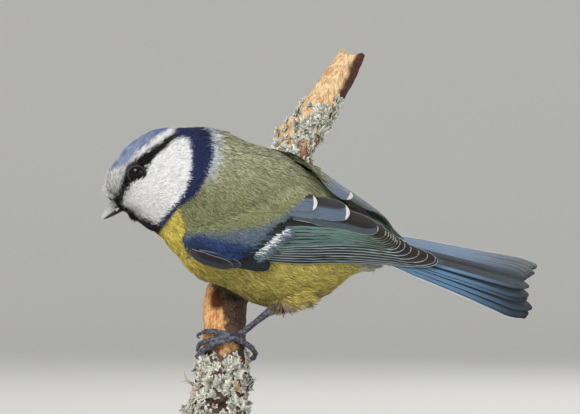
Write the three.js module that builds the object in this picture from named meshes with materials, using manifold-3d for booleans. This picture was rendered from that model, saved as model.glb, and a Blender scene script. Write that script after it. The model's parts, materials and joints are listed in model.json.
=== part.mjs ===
// A blue tit at life size, gripping a broken lichened branch that a plain display stand holds up.
// Millimetres, +Z up. The bird faces -X and shows its left side to -Y.
// The origin is the middle of the base's underside.
import * as THREE from "three";
import { mergeVertices } from "three/addons/utils/BufferGeometryUtils.js";
import Module from "manifold-3d";

const wasm = await Module();
wasm.setup();

const DEG = Math.PI / 180;
const GAP = 0.32; // clearance between neighbouring nodes
const V = (x, y, z) => new THREE.Vector3(x, y, z);

// Driving sizes of the pose
const TRUNK_CENTRE = V(0, 0, 79.5);
const TRUNK_PITCH = 12; // degrees that the tail end sinks below the breast
const TRUNK_ROLL = 33; // degrees that the back turns to the viewer
const HEAD_CENTRE = V(-25.6, 0, 91.4);
const NECK_CENTRE = V(-13.4, 0, 91.6);
const HEAD_PITCH = 40; // degrees that the bill points below level
const HEAD_YAW = 6; // degrees that the face turns to the viewer
const BLEND = 3.2; // radius with which the body's masses run into one another

// Materials
const material = (color, roughness = 0.85, metalness = 0) =>
  new THREE.MeshStandardMaterial({ color, roughness, metalness });
const LOOKS = {
  headWhite: material(0xdedede),
  collarNavy: material(0x2a3350),
  mantleGreen: material(0x94945f),
  wingBlue: material(0x5b7386),
  tailBlue: material(0x7493ad),
  thighGrey: material(0x8c8470),
  horn: material(0x3b3c40, 0.5),
  eyeBlack: material(0x080808, 0.1),
  legSlate: material(0x50555c, 0.6),
  claw: material(0x3c3a38, 0.45),
  bark: material(0x8a6a52, 0.9),
  standWood: material(0x2a211b, 0.45),
  steel: material(0xb0b0b0, 0.3, 1),
};

// Rigid frames: x runs to the tail on the trunk and to the bill on the head, z to the back
function frameAt(centre, pitch, roll, yaw = 0, backwards = false) {
  const m = new THREE.Matrix4().makeTranslation(centre.x, centre.y, centre.z);
  m.multiply(new THREE.Matrix4().makeRotationZ(yaw * DEG + (backwards ? Math.PI : 0)));
  m.multiply(new THREE.Matrix4().makeRotationY(pitch * DEG));
  m.multiply(new THREE.Matrix4().makeRotationX(roll * DEG));
  return m;
}
const NECK = frameAt(NECK_CENTRE, 14, 20);
const TRUNK = frameAt(TRUNK_CENTRE, TRUNK_PITCH, TRUNK_ROLL);
const HEAD = frameAt(HEAD_CENTRE, HEAD_PITCH, -8, HEAD_YAW, true);
const inFrame = (frame, x, y, z) => V(x, y, z).applyMatrix4(frame);
const wayIn = (frame, x, y, z) => V(x, y, z).transformDirection(frame);

// The body's masses: frame, centre in it, and half sizes
const MASSES = [
  { frame: HEAD, at: [0, 0, 0.6], half: [13.6, 11.4, 12] },
  { frame: HEAD, at: [-1.3, 4.2, -3.7], half: [11.4, 8.2, 9.9] },
  { frame: HEAD, at: [-1.3, -4.2, -3.7], half: [11.4, 8.2, 9.9] },
  { frame: NECK, at: [0, 0, 0], half: [15.5, 12.8, 13.4] },
  { frame: TRUNK, at: [-9, 0, -0.6], half: [16, 17.2, 18.2] },
  { frame: TRUNK, at: [-3, 0, 4.6], half: [18.5, 16.4, 16.6] },
  { frame: TRUNK, at: [5.5, 0, -2.4], half: [22, 17.8, 18.6] },
  { frame: TRUNK, at: [20, 0, 0.2], half: [19, 10.4, 8.4] },
  { frame: TRUNK, at: [33, 0, -0.4], half: [15.5, 6, 3.4] },
];
for (const mass of MASSES) mass.inverse = mass.frame.clone().invert();

function ellipsoidDistance(point, mass) {
  const p = point.clone().applyMatrix4(mass.inverse);
  const q = [p.x - mass.at[0], p.y - mass.at[1], p.z - mass.at[2]];
  const [a, b, c] = mass.half;
  const near = Math.hypot(q[0] / a, q[1] / b, q[2] / c);
  const slope = Math.hypot(q[0] / a ** 2, q[1] / b ** 2, q[2] / c ** 2);
  return slope < 1e-9 ? -Math.min(a, b, c) : (near * (near - 1)) / slope;
}

function smoothUnion(a, b, radius) {
  const h = Math.max(radius - Math.abs(a - b), 0) / radius;
  return Math.min(a, b) - (h * h * radius) / 4;
}

const bodyDistance = (point) =>
  MASSES.map((mass) => ellipsoidDistance(point, mass)).reduce((a, b) => smoothUnion(a, b, BLEND));

// The distance from a point inside the body, along a direction, to where it is `grow` outside it
function reach(from, way, grow = 0) {
  const outside = (r) => bodyDistance(from.clone().addScaledVector(way, r)) - grow;
  let low = 0;
  let high = 1;
  while (outside(high) < 0 && high < 60) {
    low = high;
    high += 1;
  }
  for (let i = 0; i < 18; i++) {
    const middle = (low + high) / 2;
    if (outside(middle) < 0) low = middle;
    else high = middle;
  }
  return high;
}

// Closed solids from rings of points, each ring turning the same way round the path
function solidFrom(points, triangles) {
  const positions = new Float32Array(points.flatMap((p) => [p.x, p.y, p.z]));
  const made = new wasm.Manifold(
    new wasm.Mesh({ numProp: 3, vertProperties: positions, triVerts: new Uint32Array(triangles.flat()) }),
  );
  if (made.volume() > 0) return made;
  const turned = triangles.map(([a, b, c]) => [a, c, b]);
  return new wasm.Manifold(
    new wasm.Mesh({ numProp: 3, vertProperties: positions, triVerts: new Uint32Array(turned.flat()) }),
  );
}

function loft(rings, start, end) {
  const sides = rings[0].length;
  const points = [...rings.flat(), start, end];
  const first = points.length - 2;
  const triangles = [];
  for (let j = 0; j < sides; j++) {
    const k = (j + 1) % sides;
    triangles.push([first, k, j]);
    triangles.push([first + 1, (rings.length - 1) * sides + j, (rings.length - 1) * sides + k]);
    for (let i = 0; i + 1 < rings.length; i++) {
      const [a, b, c, d] = [i * sides + j, i * sides + k, (i + 1) * sides + k, (i + 1) * sides + j];
      triangles.push([a, b, c], [a, c, d]);
    }
  }
  return solidFrom(points, triangles);
}

// A round tube of changing radius along points, closed by short domes
function tube(points, radii, sides, flat = 1, up = V(0, 0, 1)) {
  const curve = new THREE.CatmullRomCurve3(points, false, "centripetal");
  const rings = points.map((_, i) => {
    const t = i / (points.length - 1);
    const centre = curve.getPoint(t);
    const ahead = curve.getTangent(t);
    const side = ahead.clone().cross(up).normalize();
    const lift = side.clone().cross(ahead).normalize();
    return Array.from({ length: sides }, (_, j) => {
      const a = (2 * Math.PI * j) / sides;
      return centre
        .clone()
        .addScaledVector(side, radii[i] * Math.cos(a))
        .addScaledVector(lift, radii[i] * flat * Math.sin(a));
    });
  });
  const dome = (t, i, sign) =>
    curve.getPoint(t).addScaledVector(curve.getTangent(t), sign * radii[i] * 0.45);
  return loft(rings, dome(0, 0, -1), dome(1, points.length - 1, 1));
}

function fromGeometry(geometry, matrix) {
  const g = geometry.clone();
  g.deleteAttribute("normal");
  g.deleteAttribute("uv");
  const merged = mergeVertices(g.applyMatrix4(matrix), 1e-4);
  const index = [...merged.index.array];
  const triangles = [];
  for (let i = 0; i < index.length; i += 3) {
    const t = index.slice(i, i + 3);
    if (new Set(t).size === 3) triangles.push(t);
  }
  const p = merged.attributes.position;
  return solidFrom(
    Array.from({ length: p.count }, (_, i) => V(p.getX(i), p.getY(i), p.getZ(i))),
    triangles,
  );
}

// A placing matrix whose z axis is `way`
function facing(centre, way) {
  const turn = new THREE.Quaternion().setFromUnitVectors(V(0, 0, 1), way.clone().normalize());
  return new THREE.Matrix4().compose(centre, turn, V(1, 1, 1));
}

const ball = (centre, radius, wide = 18, high = 10) =>
  fromGeometry(new THREE.SphereGeometry(radius, wide, high), facing(centre, V(0, 0, 1)));

const fuse = (solids) => wasm.Manifold.union(solids);
const outerSkin = (solid) => solid.decompose().sort((a, b) => b.volume() - a.volume())[0];

const group = new THREE.Group();
function addNode(name, solid, look) {
  const m = outerSkin(solid).getMesh();
  const positions = new Float32Array(m.numVert * 3);
  for (let i = 0; i < m.numVert; i++) {
    positions.set(m.vertProperties.subarray(i * m.numProp, i * m.numProp + 3), i * 3);
  }
  const geometry = new THREE.BufferGeometry();
  geometry.setAttribute("position", new THREE.BufferAttribute(positions, 3));
  geometry.setIndex(new THREE.BufferAttribute(m.triVerts, 1));
  geometry.computeVertexNormals();
  const mesh = new THREE.Mesh(geometry, look);
  mesh.name = name;
  group.add(mesh);
}

// Body: rings across world X round a line inside it, then cuts at the neck
const BODY_LINE = new THREE.CatmullRomCurve3([
  V(-38, 0, 88.4),
  V(-27, 0, 90.5),
  V(-14, 0, 85.5),
  V(2, 0, 79.5),
  V(20, 0.4, 75.6),
  V(34, 1.2, 73.6),
  V(46.5, 1.4, 70.2),
]);
const BODY_RINGS = 32;
const BODY_SIDES = 24;

function bodySolid(grow) {
  const rings = Array.from({ length: BODY_RINGS }, (_, i) => {
    const t = i / (BODY_RINGS - 1);
    const centre = BODY_LINE.getPoint(t);
    return Array.from({ length: BODY_SIDES }, (_, j) => {
      const a = (2 * Math.PI * j) / BODY_SIDES;
      const way = V(0, Math.sin(a), Math.cos(a));
      return centre.clone().addScaledVector(way, reach(centre, way, grow));
    });
  });
  const front = BODY_LINE.getPoint(0);
  const back = BODY_LINE.getPoint(1);
  return loft(
    rings,
    front.clone().add(V(-reach(front, V(-1, 0, 0), grow), 0, 0)),
    back.clone().add(V(reach(back, V(1, 0, 0), grow), 0, 0)),
  );
}

// Keeps what lies on the far side of a plane through `point`, `clear` beyond it
const beyond = (solid, point, way, clear = 0) =>
  solid.trimByPlane(way.toArray(), point.dot(way) + clear);

const body = bodySolid(0);
const bodyGrown = bodySolid(GAP);

const NAPE_CUT = { at: V(-17.5, 0, 90), way: V(0.9, 0, -0.436).normalize() };
const CHEST_CUT = { at: V(-13.6, 0, 87), way: V(0.885, 0, -0.466).normalize() };
const TAIL_CUT = { at: inFrame(TRUNK, 33.5, 0, 0), way: wayIn(TRUNK, 1, 0, 0) };
const between = (solid, from, to) =>
  beyond(beyond(solid, from.at, from.way, GAP / 2), to.at, to.way.clone().negate(), GAP / 2);

// Head: eyes in sockets with a raised rim of lid, and nostril pits in the bill
const EYE_RADIUS = 2.75;
const EYE_SEEN_RADIUS = 2.15;
const EYE_SPOT = { forward: 1.8, up: 5.9 }; // on the head's frame
const LID_TUBE = 0.42;

function eyeAt(side) {
  const inside = inFrame(HEAD, EYE_SPOT.forward, 0, EYE_SPOT.up);
  const way = wayIn(HEAD, 0.22, side, 0.06);
  const depth = reach(inside, way) - Math.sqrt(EYE_RADIUS ** 2 - EYE_SEEN_RADIUS ** 2) + 0.15;
  const rim = inside.clone().addScaledVector(way, reach(inside, way) - 0.02);
  return { centre: inside.clone().addScaledVector(way, depth), way, rim };
}
const EYES = { left: eyeAt(1), right: eyeAt(-1) };

let head = beyond(body, NAPE_CUT.at, NAPE_CUT.way.clone().negate(), GAP / 2);
for (const eye of Object.values(EYES)) {
  const lid = new THREE.TorusGeometry(EYE_SEEN_RADIUS + 0.35, LID_TUBE, 6, 20);
  head = head.add(fromGeometry(lid, facing(eye.rim, eye.way)));
}
for (const eye of Object.values(EYES)) {
  head = head.subtract(ball(eye.centre, EYE_RADIUS + GAP));
}

// Bill: two halves of a blunt cone that meet along the gape, the upper one the deeper
const BILL = { root: [8.6, 0, 0.7], length: 9.6, upper: 4.1, lower: 2.1, width: 5.2, rise: 0.75 };
const NOSTRIL = { forward: 5.1, side: 1.35, up: 1.75, radius: 0.42 };
const BILL_STEPS = [0, 0.25, 0.5, 0.72, 0.88, 0.97];

function billHalf(isUpper) {
  const rings = BILL_STEPS.map((t) => {
    const taper = Math.sqrt(Math.max(0, 1 - t)) * (1 - 0.32 * t);
    const reachOut = isUpper ? BILL.length : BILL.length * 0.94;
    const x = BILL.root[0] + reachOut * t;
    const seam = BILL.root[2] + BILL.rise * t + (isUpper ? GAP / 2 : -GAP / 2);
    const high = (isUpper ? BILL.upper : BILL.lower) * taper;
    const wide = (BILL.width / 2) * taper * (isUpper ? 1 : 0.92);
    return Array.from({ length: 10 }, (_, j) => {
      const a = (Math.PI * j) / 9;
      const z = seam + (isUpper ? 1 : -1) * high * Math.sin(a) ** 0.8;
      return inFrame(HEAD, x, wide * Math.cos(a), z);
    });
  });
  const tipX = BILL.root[0] + BILL.length * (isUpper ? 1 : 0.94);
  const tipZ = BILL.root[2] + BILL.rise + (isUpper ? GAP / 2 : -GAP / 2);
  return loft(rings, inFrame(HEAD, BILL.root[0] - 0.5, 0, BILL.root[2] + (isUpper ? 1 : -1)),
    inFrame(HEAD, tipX, 0, tipZ + (isUpper ? 0.12 : -0.12)));
}
const nostril = (side) =>
  ball(
    inFrame(HEAD, BILL.root[0] + NOSTRIL.forward, side * NOSTRIL.side, BILL.root[2] + NOSTRIL.up),
    NOSTRIL.radius,
    8,
    6,
  );
const billUpper = fuse([billHalf(true)]).subtract(nostril(1)).subtract(nostril(-1));

// Closed sheets: rows of [upper, lower] points, cut into triangles alike on both faces
function sheet(rows) {
  const across = rows[0].length;
  const end = rows.length - 1;
  const lower = rows.length * across;
  const points = [...rows.flat().map((pair) => pair[0]), ...rows.flat().map((pair) => pair[1])];
  const at = (i, j) => i * across + j;
  const triangles = [];
  const quad = (a, b, c, d) => triangles.push([a, b, c], [a, c, d]);
  const wall = (a, b) => quad(a, b, lower + b, lower + a);
  for (let i = 0; i < end; i++) {
    for (let j = 0; j + 1 < across; j++) {
      const [a, b, c, d] = [at(i, j), at(i + 1, j), at(i + 1, j + 1), at(i, j + 1)];
      quad(a, b, c, d);
      quad(lower + a, lower + d, lower + c, lower + b);
    }
    wall(at(i + 1, 0), at(i, 0));
    wall(at(i, across - 1), at(i + 1, across - 1));
  }
  for (let j = 0; j + 1 < across; j++) {
    wall(at(0, j), at(0, j + 1));
    wall(at(end, j + 1), at(end, j));
  }
  return solidFrom(points, triangles);
}

function tableAt(table, x) {
  const next = table.findIndex(([key]) => key > x);
  if (next === -1) return table[table.length - 1][1];
  if (next === 0) return table[0][1];
  const [[x0, y0], [x1, y1]] = [table[next - 1], table[next]];
  return y0 + ((y1 - y0) * (x - x0)) / (x1 - x0);
}

// Wings: a shell round the trunk's axis, addressed by x and the angle from the back to the flank
const VANE = 0.5; // thickness of every feather
const VANE_STEPS = [0, 0.37, 0.84, 0.95, 1];
const SHINGLE = 0.14; // rise of a feather's outer edge over the one below, per mm of width
const CONE = {
  left: [[-20, 9], [5, 15], [12, 16.3], [22.5, 13], [33, 8.6], [41, 6.3], [50, 4.6]],
  right: [[-20, 9], [5, 15], [12, 16.3], [22.5, 13], [33, 8.9], [41, 8.6], [50, 8.8]],
};
const TURN = {
  left: [[0, 0]],
  right: [[-15, -14], [4, -12], [13, 8], [17, 15], [21, 16], [28, 9], [34, -14], [40, -42], [50, -54]],
};

function onWing(side, x, angle, lift) {
  const phi = ((side === "left" ? angle : -angle) + tableAt(TURN[side], x)) * DEG;
  const axis = inFrame(TRUNK, x, 0, 0);
  const way = wayIn(TRUNK, 0, -Math.sin(phi), Math.cos(phi));
  const skin = reach(axis, way) + GAP + 0.3;
  const shell = -smoothUnion(-skin, -tableAt(CONE[side], x), 1.6);
  return axis.addScaledVector(way, shell + lift);
}

// One feather from root by bend to tip, each an [x, angle] pair, its outer edge raised
function wingVane(side, { root, bend, tip, width, lift, edges = [-1, 1] }) {
  const rows = VANE_STEPS.map((t) => {
    const mix = [0, 1].map((k) => (1 - t) ** 2 * root[k] + 2 * t * (1 - t) * bend[k] + t * t * tip[k]);
    const slope = [0, 1].map((k) => (1 - t) * (bend[k] - root[k]) + t * (tip[k] - bend[k]));
    const radius = Math.max(tableAt(CONE[side], mix[0]), 5);
    const run = [slope[0], slope[1] * DEG * radius];
    const length = Math.hypot(...run);
    const rounding = t > 0.84 ? Math.sqrt(Math.max(0.05, 1 - ((t - 0.84) / 0.165) ** 2)) : 1;
    const half = (width / 2) * Math.min(1, 0.6 + 1.4 * t) * rounding;
    return edges.map((edge) => {
      const x = mix[0] - (run[1] / length) * edge * half;
      const angle = mix[1] + ((run[0] / length) * edge * half) / radius / DEG;
      const rise = lift + SHINGLE * edge * half + (edge === 0 ? 0.1 : 0);
      return [onWing(side, x, angle, rise), onWing(side, x, angle, rise - VANE)];
    });
  });
  return sheet(rows);
}

const PRIMARY_TIPS = [
  [47.2, 53], [48.9, 50], [48.4, 47], [46.6, 43.5], [44.4, 40.5], [42.2, 37.5], [40.2, 34.5],
  [38.4, 31.8],
];
const SECONDARY_TIPS = [[37.2, 32.4], [36.4, 29.8], [35.7, 27.8], [35, 26.2], [34.2, 25]];
const TERTIALS = [
  { root: [9, 41], bend: [21, 31], tip: [31.8, 24], width: 5.4, lift: 1.75, edges: [-1, 0, 1] },
  { root: [6, 38], bend: [15, 28], tip: [23.6, 21.5], width: 6, lift: 2.05, edges: [-1, 0, 1] },
  { root: [2, 38], bend: [8, 31], tip: [14.6, 27], width: 5.4, lift: 2.3, edges: [-1, 0, 1] },
];
const GREATER_COVERT_TIPS = [
  [0.4, 82], [2.4, 75.5], [4.6, 68.5], [6.8, 61], [9, 53], [11.2, 44.5], [13.4, 35.5],
];
const ALULA_TIPS = [[4.6, 83.5], [0.6, 86.5], [-3.6, 89]];

function wingFeathers() {
  const primaries = PRIMARY_TIPS.map((tip, i) => ({
    root: [5 + 0.7 * i, 79 - 2.2 * i],
    bend: [31.4, 68.2 - 4 * i],
    tip,
    width: 4.4,
    lift: 1.05 + 0.03 * i,
  }));
  const secondaries = SECONDARY_TIPS.map((tip, i) => ({
    root: [2 + i, 70 - 4 * i],
    bend: [22, 50 - 4 * i],
    tip,
    width: 4.8,
    lift: 1.35 + 0.03 * i,
  }));
  const coverts = GREATER_COVERT_TIPS.map(([x, angle], i) => ({
    root: [x - 11, angle + 3 - i],
    bend: [x - 5, angle + 1],
    tip: [x, angle],
    width: 3.6,
    lift: 1.95 + 0.03 * i,
  }));
  const alula = ALULA_TIPS.map(([x, angle], i) => ({
    root: [x - 11, angle + 4.5],
    bend: [x - 5, angle + 2],
    tip: [x, angle],
    width: 3,
    lift: 1.7 + 0.12 * i,
  }));
  return [...primaries, ...secondaries, ...TERTIALS, ...coverts, ...alula];
}

// The fleshy front of the wing: x, angles of its upper and lower edges, and its thickness
const WING_CORE = [
  [-15.6, 78, 90, 0.6],
  [-13.5, 70, 94, 1.5],
  [-9, 64, 94, 2.1],
  [-3, 60, 90, 2.2],
  [3, 50, 84, 2],
  [9, 40, 78, 1.7],
  [14, 34, 70, 1.2],
  [18, 32, 62, 0.8],
];
const CORE_ACROSS = [0, 0.25, 0.5, 0.75, 1];

function wingCore(side) {
  return sheet(
    WING_CORE.map(([x, upper, lower, thick]) =>
      CORE_ACROSS.map((t) => {
        const angle = upper + (lower - upper) * t;
        const rise = 0.55 + (thick - 0.55) * Math.sin(Math.PI * t) ** 0.6;
        return [onWing(side, x, angle, rise), onWing(side, x, angle, 0)];
      }),
    ),
  );
}

// Tail: twelve overlapping feathers fanned from the rump's end, the middle pair on top
const TAIL = {
  start: [34.3, 1.5], // x and height on the trunk's frame
  length: 41.2,
  sink: 4.1, // drop of the tips below the start, on the trunk's frame
  rootSpread: 4.6,
  tipSpread: 13.2,
  lean: 2.2, // drift of the tips to the far side
  vane: 5.4,
  feathers: 12,
};
const TAIL_STEPS = [0, 0.4, 0.84, 0.95, 1];

function tailPoint(along, across, lift) {
  const x = TAIL.start[0] + along * TAIL.length;
  const z = TAIL.start[1] - TAIL.sink * along - (across / 12) ** 2 * 1.2;
  return inFrame(TRUNK, x, across, z + lift);
}

function tailVane(index) {
  const middle = (TAIL.feathers - 1) / 2;
  const s = (index - middle) / middle;
  const reachOut = 0.955 + 0.055 * Math.abs(s) - (Math.abs(s) > 0.9 ? 0.02 : 0);
  const rows = TAIL_STEPS.map((t) => {
    const centre = s * (TAIL.rootSpread + (TAIL.tipSpread - TAIL.rootSpread) * t) + TAIL.lean * t;
    const rounding = t > 0.84 ? Math.sqrt(Math.max(0.1, 1 - ((t - 0.84) / 0.17) ** 2)) : 1;
    const half = (TAIL.vane / 2) * (0.9 + 0.15 * t) * rounding;
    const lift = 0.8 - 0.17 * Math.abs(index - middle);
    return [-1, 1].map((edge) => {
      const rise = lift - SHINGLE * edge * Math.sign(s) * half;
      const along = t * reachOut;
      const across = centre + edge * half;
      return [tailPoint(along, across, rise), tailPoint(along, across, rise - VANE)];
    });
  });
  return sheet(rows);
}

// The room the tail takes, kept free by the wings
function tailRoom() {
  const rows = [-0.02, 0.3, 0.6, 1].map((t) => {
    const edge = TAIL.rootSpread + (TAIL.tipSpread - TAIL.rootSpread) * t + TAIL.vane / 2 + 0.4;
    return [-1, -0.5, 0, 0.5, 1].map((s) => [
      tailPoint(t, edge * s + TAIL.lean * t, 1.4 - 0.7 * Math.abs(s)),
      tailPoint(t, edge * s + TAIL.lean * t, -1.6),
    ]);
  });
  return sheet(rows);
}

// Perch: a broken branch along a line, its radius by height, with seeded bark
const PERCH_LINE = new THREE.CatmullRomCurve3([
  V(-14, 5, 19),
  V(-11, 6.8, 30),
  V(-8.6, 8, 38),
  V(-8.2, 10, 47.9),
  V(-7.8, 16, 59.7),
  V(-2.6, 26, 71.6),
  V(3.9, 32, 86),
  V(10.6, 38, 100.5),
  V(27, 47, 126.5),
]);
const PERCH_FOOT = 21.5; // height of the sawn lower end
const PERCH_RADII = [
  [20, 6.9], [38, 6.9], [44, 5.9], [52, 5.9], [60, 6.1], [74, 5], [86, 5], [102, 5], [117, 4.5], [127, 3.6],
];
const GRIP_HEIGHTS = { left: 47.6, right: 74 };
const LICHEN = [[25, 42, 12], [96, 112, 8]]; // lowest and highest place, number of lobes
const LOBE = { least: 1.5, more: 1.2, flatness: 0.75 };
const PERCH_RINGS = 28;
const PERCH_SIDES = 12;

let seed = 20261;
function random() {
  seed = (seed * 1664525 + 1013904223) % 4294967296;
  return seed / 4294967296;
}

function perchAt(height) {
  let low = 0;
  let high = 1;
  for (let i = 0; i < 30; i++) {
    const middle = (low + high) / 2;
    if (PERCH_LINE.getPoint(middle).z < height) low = middle;
    else high = middle;
  }
  return { centre: PERCH_LINE.getPoint(low), way: PERCH_LINE.getTangent(low) };
}

function perchSolid() {
  const rings = Array.from({ length: PERCH_RINGS }, (_, i) => {
    const t = i / (PERCH_RINGS - 1);
    const centre = PERCH_LINE.getPoint(t);
    const way = PERCH_LINE.getTangent(t);
    const side = way.clone().cross(V(0, 1, 0)).normalize();
    const front = side.clone().cross(way).normalize();
    const held = Object.values(GRIP_HEIGHTS).some((z) => Math.abs(centre.z - z) < 6.5);
    return Array.from({ length: PERCH_SIDES }, (_, j) => {
      const a = (2 * Math.PI * j) / PERCH_SIDES;
      const rough = (random() - 0.5) * (held ? 0.1 : 0.7);
      const splinter = i === PERCH_RINGS - 1 ? (random() - 0.7) * 5 : 0;
      const r = tableAt(PERCH_RADII, centre.z) + rough;
      return centre
        .clone()
        .addScaledVector(side, r * Math.cos(a))
        .addScaledVector(front, r * Math.sin(a))
        .addScaledVector(way, splinter);
    });
  });
  const top = PERCH_LINE.getPoint(1).addScaledVector(PERCH_LINE.getTangent(1), -3);
  let solid = loft(rings, PERCH_LINE.getPoint(0), top);
  for (const [from, to, count] of LICHEN) {
    for (let k = 0; k < count; k++) {
      const { centre, way } = perchAt(from + (to - from) * random());
      const a = 2 * Math.PI * random();
      const out = V(Math.cos(a), Math.sin(a), 0).projectOnPlane(way).normalize();
      const size = LOBE.least + LOBE.more * random();
      const at = centre.clone().addScaledVector(out, tableAt(PERCH_RADII, centre.z) + 0.1 * size);
      const lobe = new THREE.IcosahedronGeometry(size, 0).scale(1, 1, LOBE.flatness);
      solid = solid.add(fromGeometry(lobe, facing(at, out)));
    }
  }
  const twig = [V(-14.5, 6.5, 35.4), V(-16.6, 5.6, 37.4), V(-18.2, 5.2, 38.2), V(-20, 5, 38)];
  solid = solid.add(tube(twig, [0.8, 0.6, 0.5, 0.35], 6));
  const fork = [V(-17.6, 5.4, 37.9), V(-18.6, 5, 39.6), V(-18.8, 4.8, 41)];
  solid = solid.add(tube(fork, [0.5, 0.42, 0.3], 6, 1, V(0, 1, 0)));
  return beyond(solid, V(0, 0, PERCH_FOOT), V(0, 0, 1));
}

// Legs: where each heel sits, where the shin leaves the body, and which way the foot's joint faces
const LEGS = {
  left: { knee: V(13, -5.6, 62), heel: V(4.4, -6.4, 57.3), faces: V(0.42, -0.86, 0.3) },
  right: { knee: V(19.5, 9, 70), heel: V(15, 17.6, 62.6), faces: V(0.97, -0.1, 0.1) },
};
const TOE_RADII = [0.95, 0.85, 0.8, 0.78, 0.72, 0.62];
const TOES = [
  { name: "inner", turn: -82, along: 2.1, bulge: 0.4 },
  { name: "middle", turn: -108, along: -1.1, bulge: 0.5 },
  { name: "outer", turn: -98, along: -3.2, bulge: 0.3 },
  { name: "hind", turn: 86, along: -3.3, bulge: 1.6 },
];

function gripOf(side) {
  const { centre, way } = perchAt(GRIP_HEIGHTS[side]);
  const out = LEGS[side].faces.clone().projectOnPlane(way).normalize();
  const round = way.clone().cross(out);
  const ring = tableAt(PERCH_RADII, centre.z) + GAP + 0.12;
  const at = (turn, along, lift) =>
    centre
      .clone()
      .addScaledVector(way, along)
      .addScaledVector(out, (ring + lift) * Math.cos(turn * DEG))
      .addScaledVector(round, (ring + lift) * Math.sin(turn * DEG));
  return { at, ring };
}

function toe(grip, { turn, along, bulge }) {
  const points = TOE_RADII.map((r, i) => {
    const t = i / (TOE_RADII.length - 1);
    return grip.at(turn * t, along * Math.sin((t * Math.PI) / 2), r + bulge * Math.sin(Math.PI * t));
  });
  return tube(points, TOE_RADII, 6);
}

function claw(grip, { turn, along, name }) {
  const radii = [0.5, 0.42, 0.3, 0.14];
  const sign = Math.sign(turn);
  const clear = ((0.45 * (0.62 + radii[0]) + GAP + 0.04) / grip.ring / DEG) * sign;
  const span = name === "hind" ? 40 : 28;
  const points = radii.map((r, i) => {
    const t = i / (radii.length - 1);
    return grip.at(turn + clear + sign * span * t, along - 0.4 * t, r + 0.1 + 0.6 * Math.sin(Math.PI * t));
  });
  return tube(points, radii, 6);
}

function addLeg(side) {
  const { knee, heel } = LEGS[side];
  const grip = gripOf(side);
  const joint = grip.at(0, 0, 1.2);
  const shinWay = joint.clone().sub(heel).normalize();
  const thighWay = heel.clone().sub(knee).normalize();
  const at = (t) => knee.clone().lerp(heel, t);
  const thigh = tube([at(0), at(0.3), at(0.65), at(0.84)], [3.6, 3.3, 2.3, 1.4], 12);
  addNode(`thigh_${side}`, thigh.subtract(bodyGrown), LOOKS.thighGrey);
  const start = heel.clone().addScaledVector(thighWay, 0.3);
  const end = joint.clone().addScaledVector(shinWay, -1.25 - GAP - 0.42);
  const along = (t) => start.clone().lerp(end, t);
  const shin = tube([along(0), along(0.12), along(0.5), along(0.85), along(1)],
    [1.05, 0.9, 0.72, 0.78, 0.9], 10, 1.15);
  addNode(`tarsus_${side}`, shin, LOOKS.legSlate);
  const toes = TOES.map((each) => toe(grip, each));
  addNode(`foot_${side}`, fuse([ball(joint, 1.25, 12, 8), ...toes]), LOOKS.legSlate);
  for (const each of TOES) addNode(`claw_${side}_${each.name}`, claw(grip, each), LOOKS.claw);
}

// Display stand: a turned base with eased edges and a groove, and one rod up to the sawn end
const BASE = { radius: 42, height: 8, ease: 0.9, sides: 36 };
const GROOVE = { rim: 1.2, depth: 0.5, flat: 0.7 }; // from the eased edge inwards
const ROD_RADIUS = 2.5;
function turned(profile, at, segments) {
  const points = profile.map(([r, z]) => new THREE.Vector2(r, z));
  const lathe = new THREE.LatheGeometry(points, segments).rotateX(Math.PI / 2);
  return fromGeometry(lathe, new THREE.Matrix4().makeTranslation(at.x, at.y, at.z));
}
const rimRadius = BASE.radius - 2 * BASE.ease;
const grooveRadius = rimRadius - GROOVE.rim;
const grooveFloor = BASE.height - GROOVE.depth;
const baseSolid = turned(
  [
    [0, 0],
    [BASE.radius - BASE.ease, 0],
    [BASE.radius, BASE.ease],
    [BASE.radius, BASE.height - 2 * BASE.ease],
    [rimRadius, BASE.height],
    [grooveRadius, BASE.height],
    [grooveRadius - GROOVE.depth, grooveFloor],
    [grooveRadius - GROOVE.depth - GROOVE.flat, grooveFloor],
    [grooveRadius - 2 * GROOVE.depth - GROOVE.flat, BASE.height],
    [0, BASE.height],
  ],
  V(0, 0, 0),
  BASE.sides,
);
const sawnEnd = perchAt(PERCH_FOOT).centre;
const rodLength = PERCH_FOOT - BASE.height - 2 * GAP;
const rodSolid = turned(
  [[0, 0], [ROD_RADIUS, 0], [ROD_RADIUS, rodLength], [0, rodLength]],
  V(sawnEnd.x, sawnEnd.y, BASE.height + GAP),
  24,
);

addNode("head", head, LOOKS.headWhite);
addNode("neck", between(body, NAPE_CUT, CHEST_CUT), LOOKS.collarNavy);
addNode("torso", between(body, CHEST_CUT, TAIL_CUT), LOOKS.mantleGreen);
addNode("bill_upper", billUpper.subtract(bodyGrown), LOOKS.horn);
addNode("bill_lower", billHalf(false).subtract(bodyGrown), LOOKS.horn);
for (const [side, eye] of Object.entries(EYES)) {
  addNode(`eye_${side}`, ball(eye.centre, EYE_RADIUS), LOOKS.eyeBlack);
}
const rumpEnd = beyond(body, TAIL_CUT.at, TAIL_CUT.way, GAP / 2);
const tailVanes = Array.from({ length: TAIL.feathers }, (_, i) => tailVane(i));
addNode("tail", fuse([rumpEnd, ...tailVanes]), LOOKS.tailBlue);
for (const side of ["left", "right"]) {
  const feathers = wingFeathers().map((feather) => wingVane(side, feather));
  const wing = fuse([wingCore(side), ...feathers]).subtract(bodyGrown).subtract(tailRoom());
  addNode(`wing_${side}`, wing, LOOKS.wingBlue);
  addLeg(side);
}
addNode("perch", perchSolid(), LOOKS.bark);
addNode("stand_rod", rodSolid, LOOKS.steel);
addNode("stand_base", baseSolid, LOOKS.standWood);

export default group;
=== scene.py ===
"""A life-size blue tit gripping a broken lichened branch, dressed round its fixed frame.

The bird faces -X and shows its left side to the camera, which looks along +Y.
Sizes and places inside the classes are in millimetres, and meshes are written in metres.
"""

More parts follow.
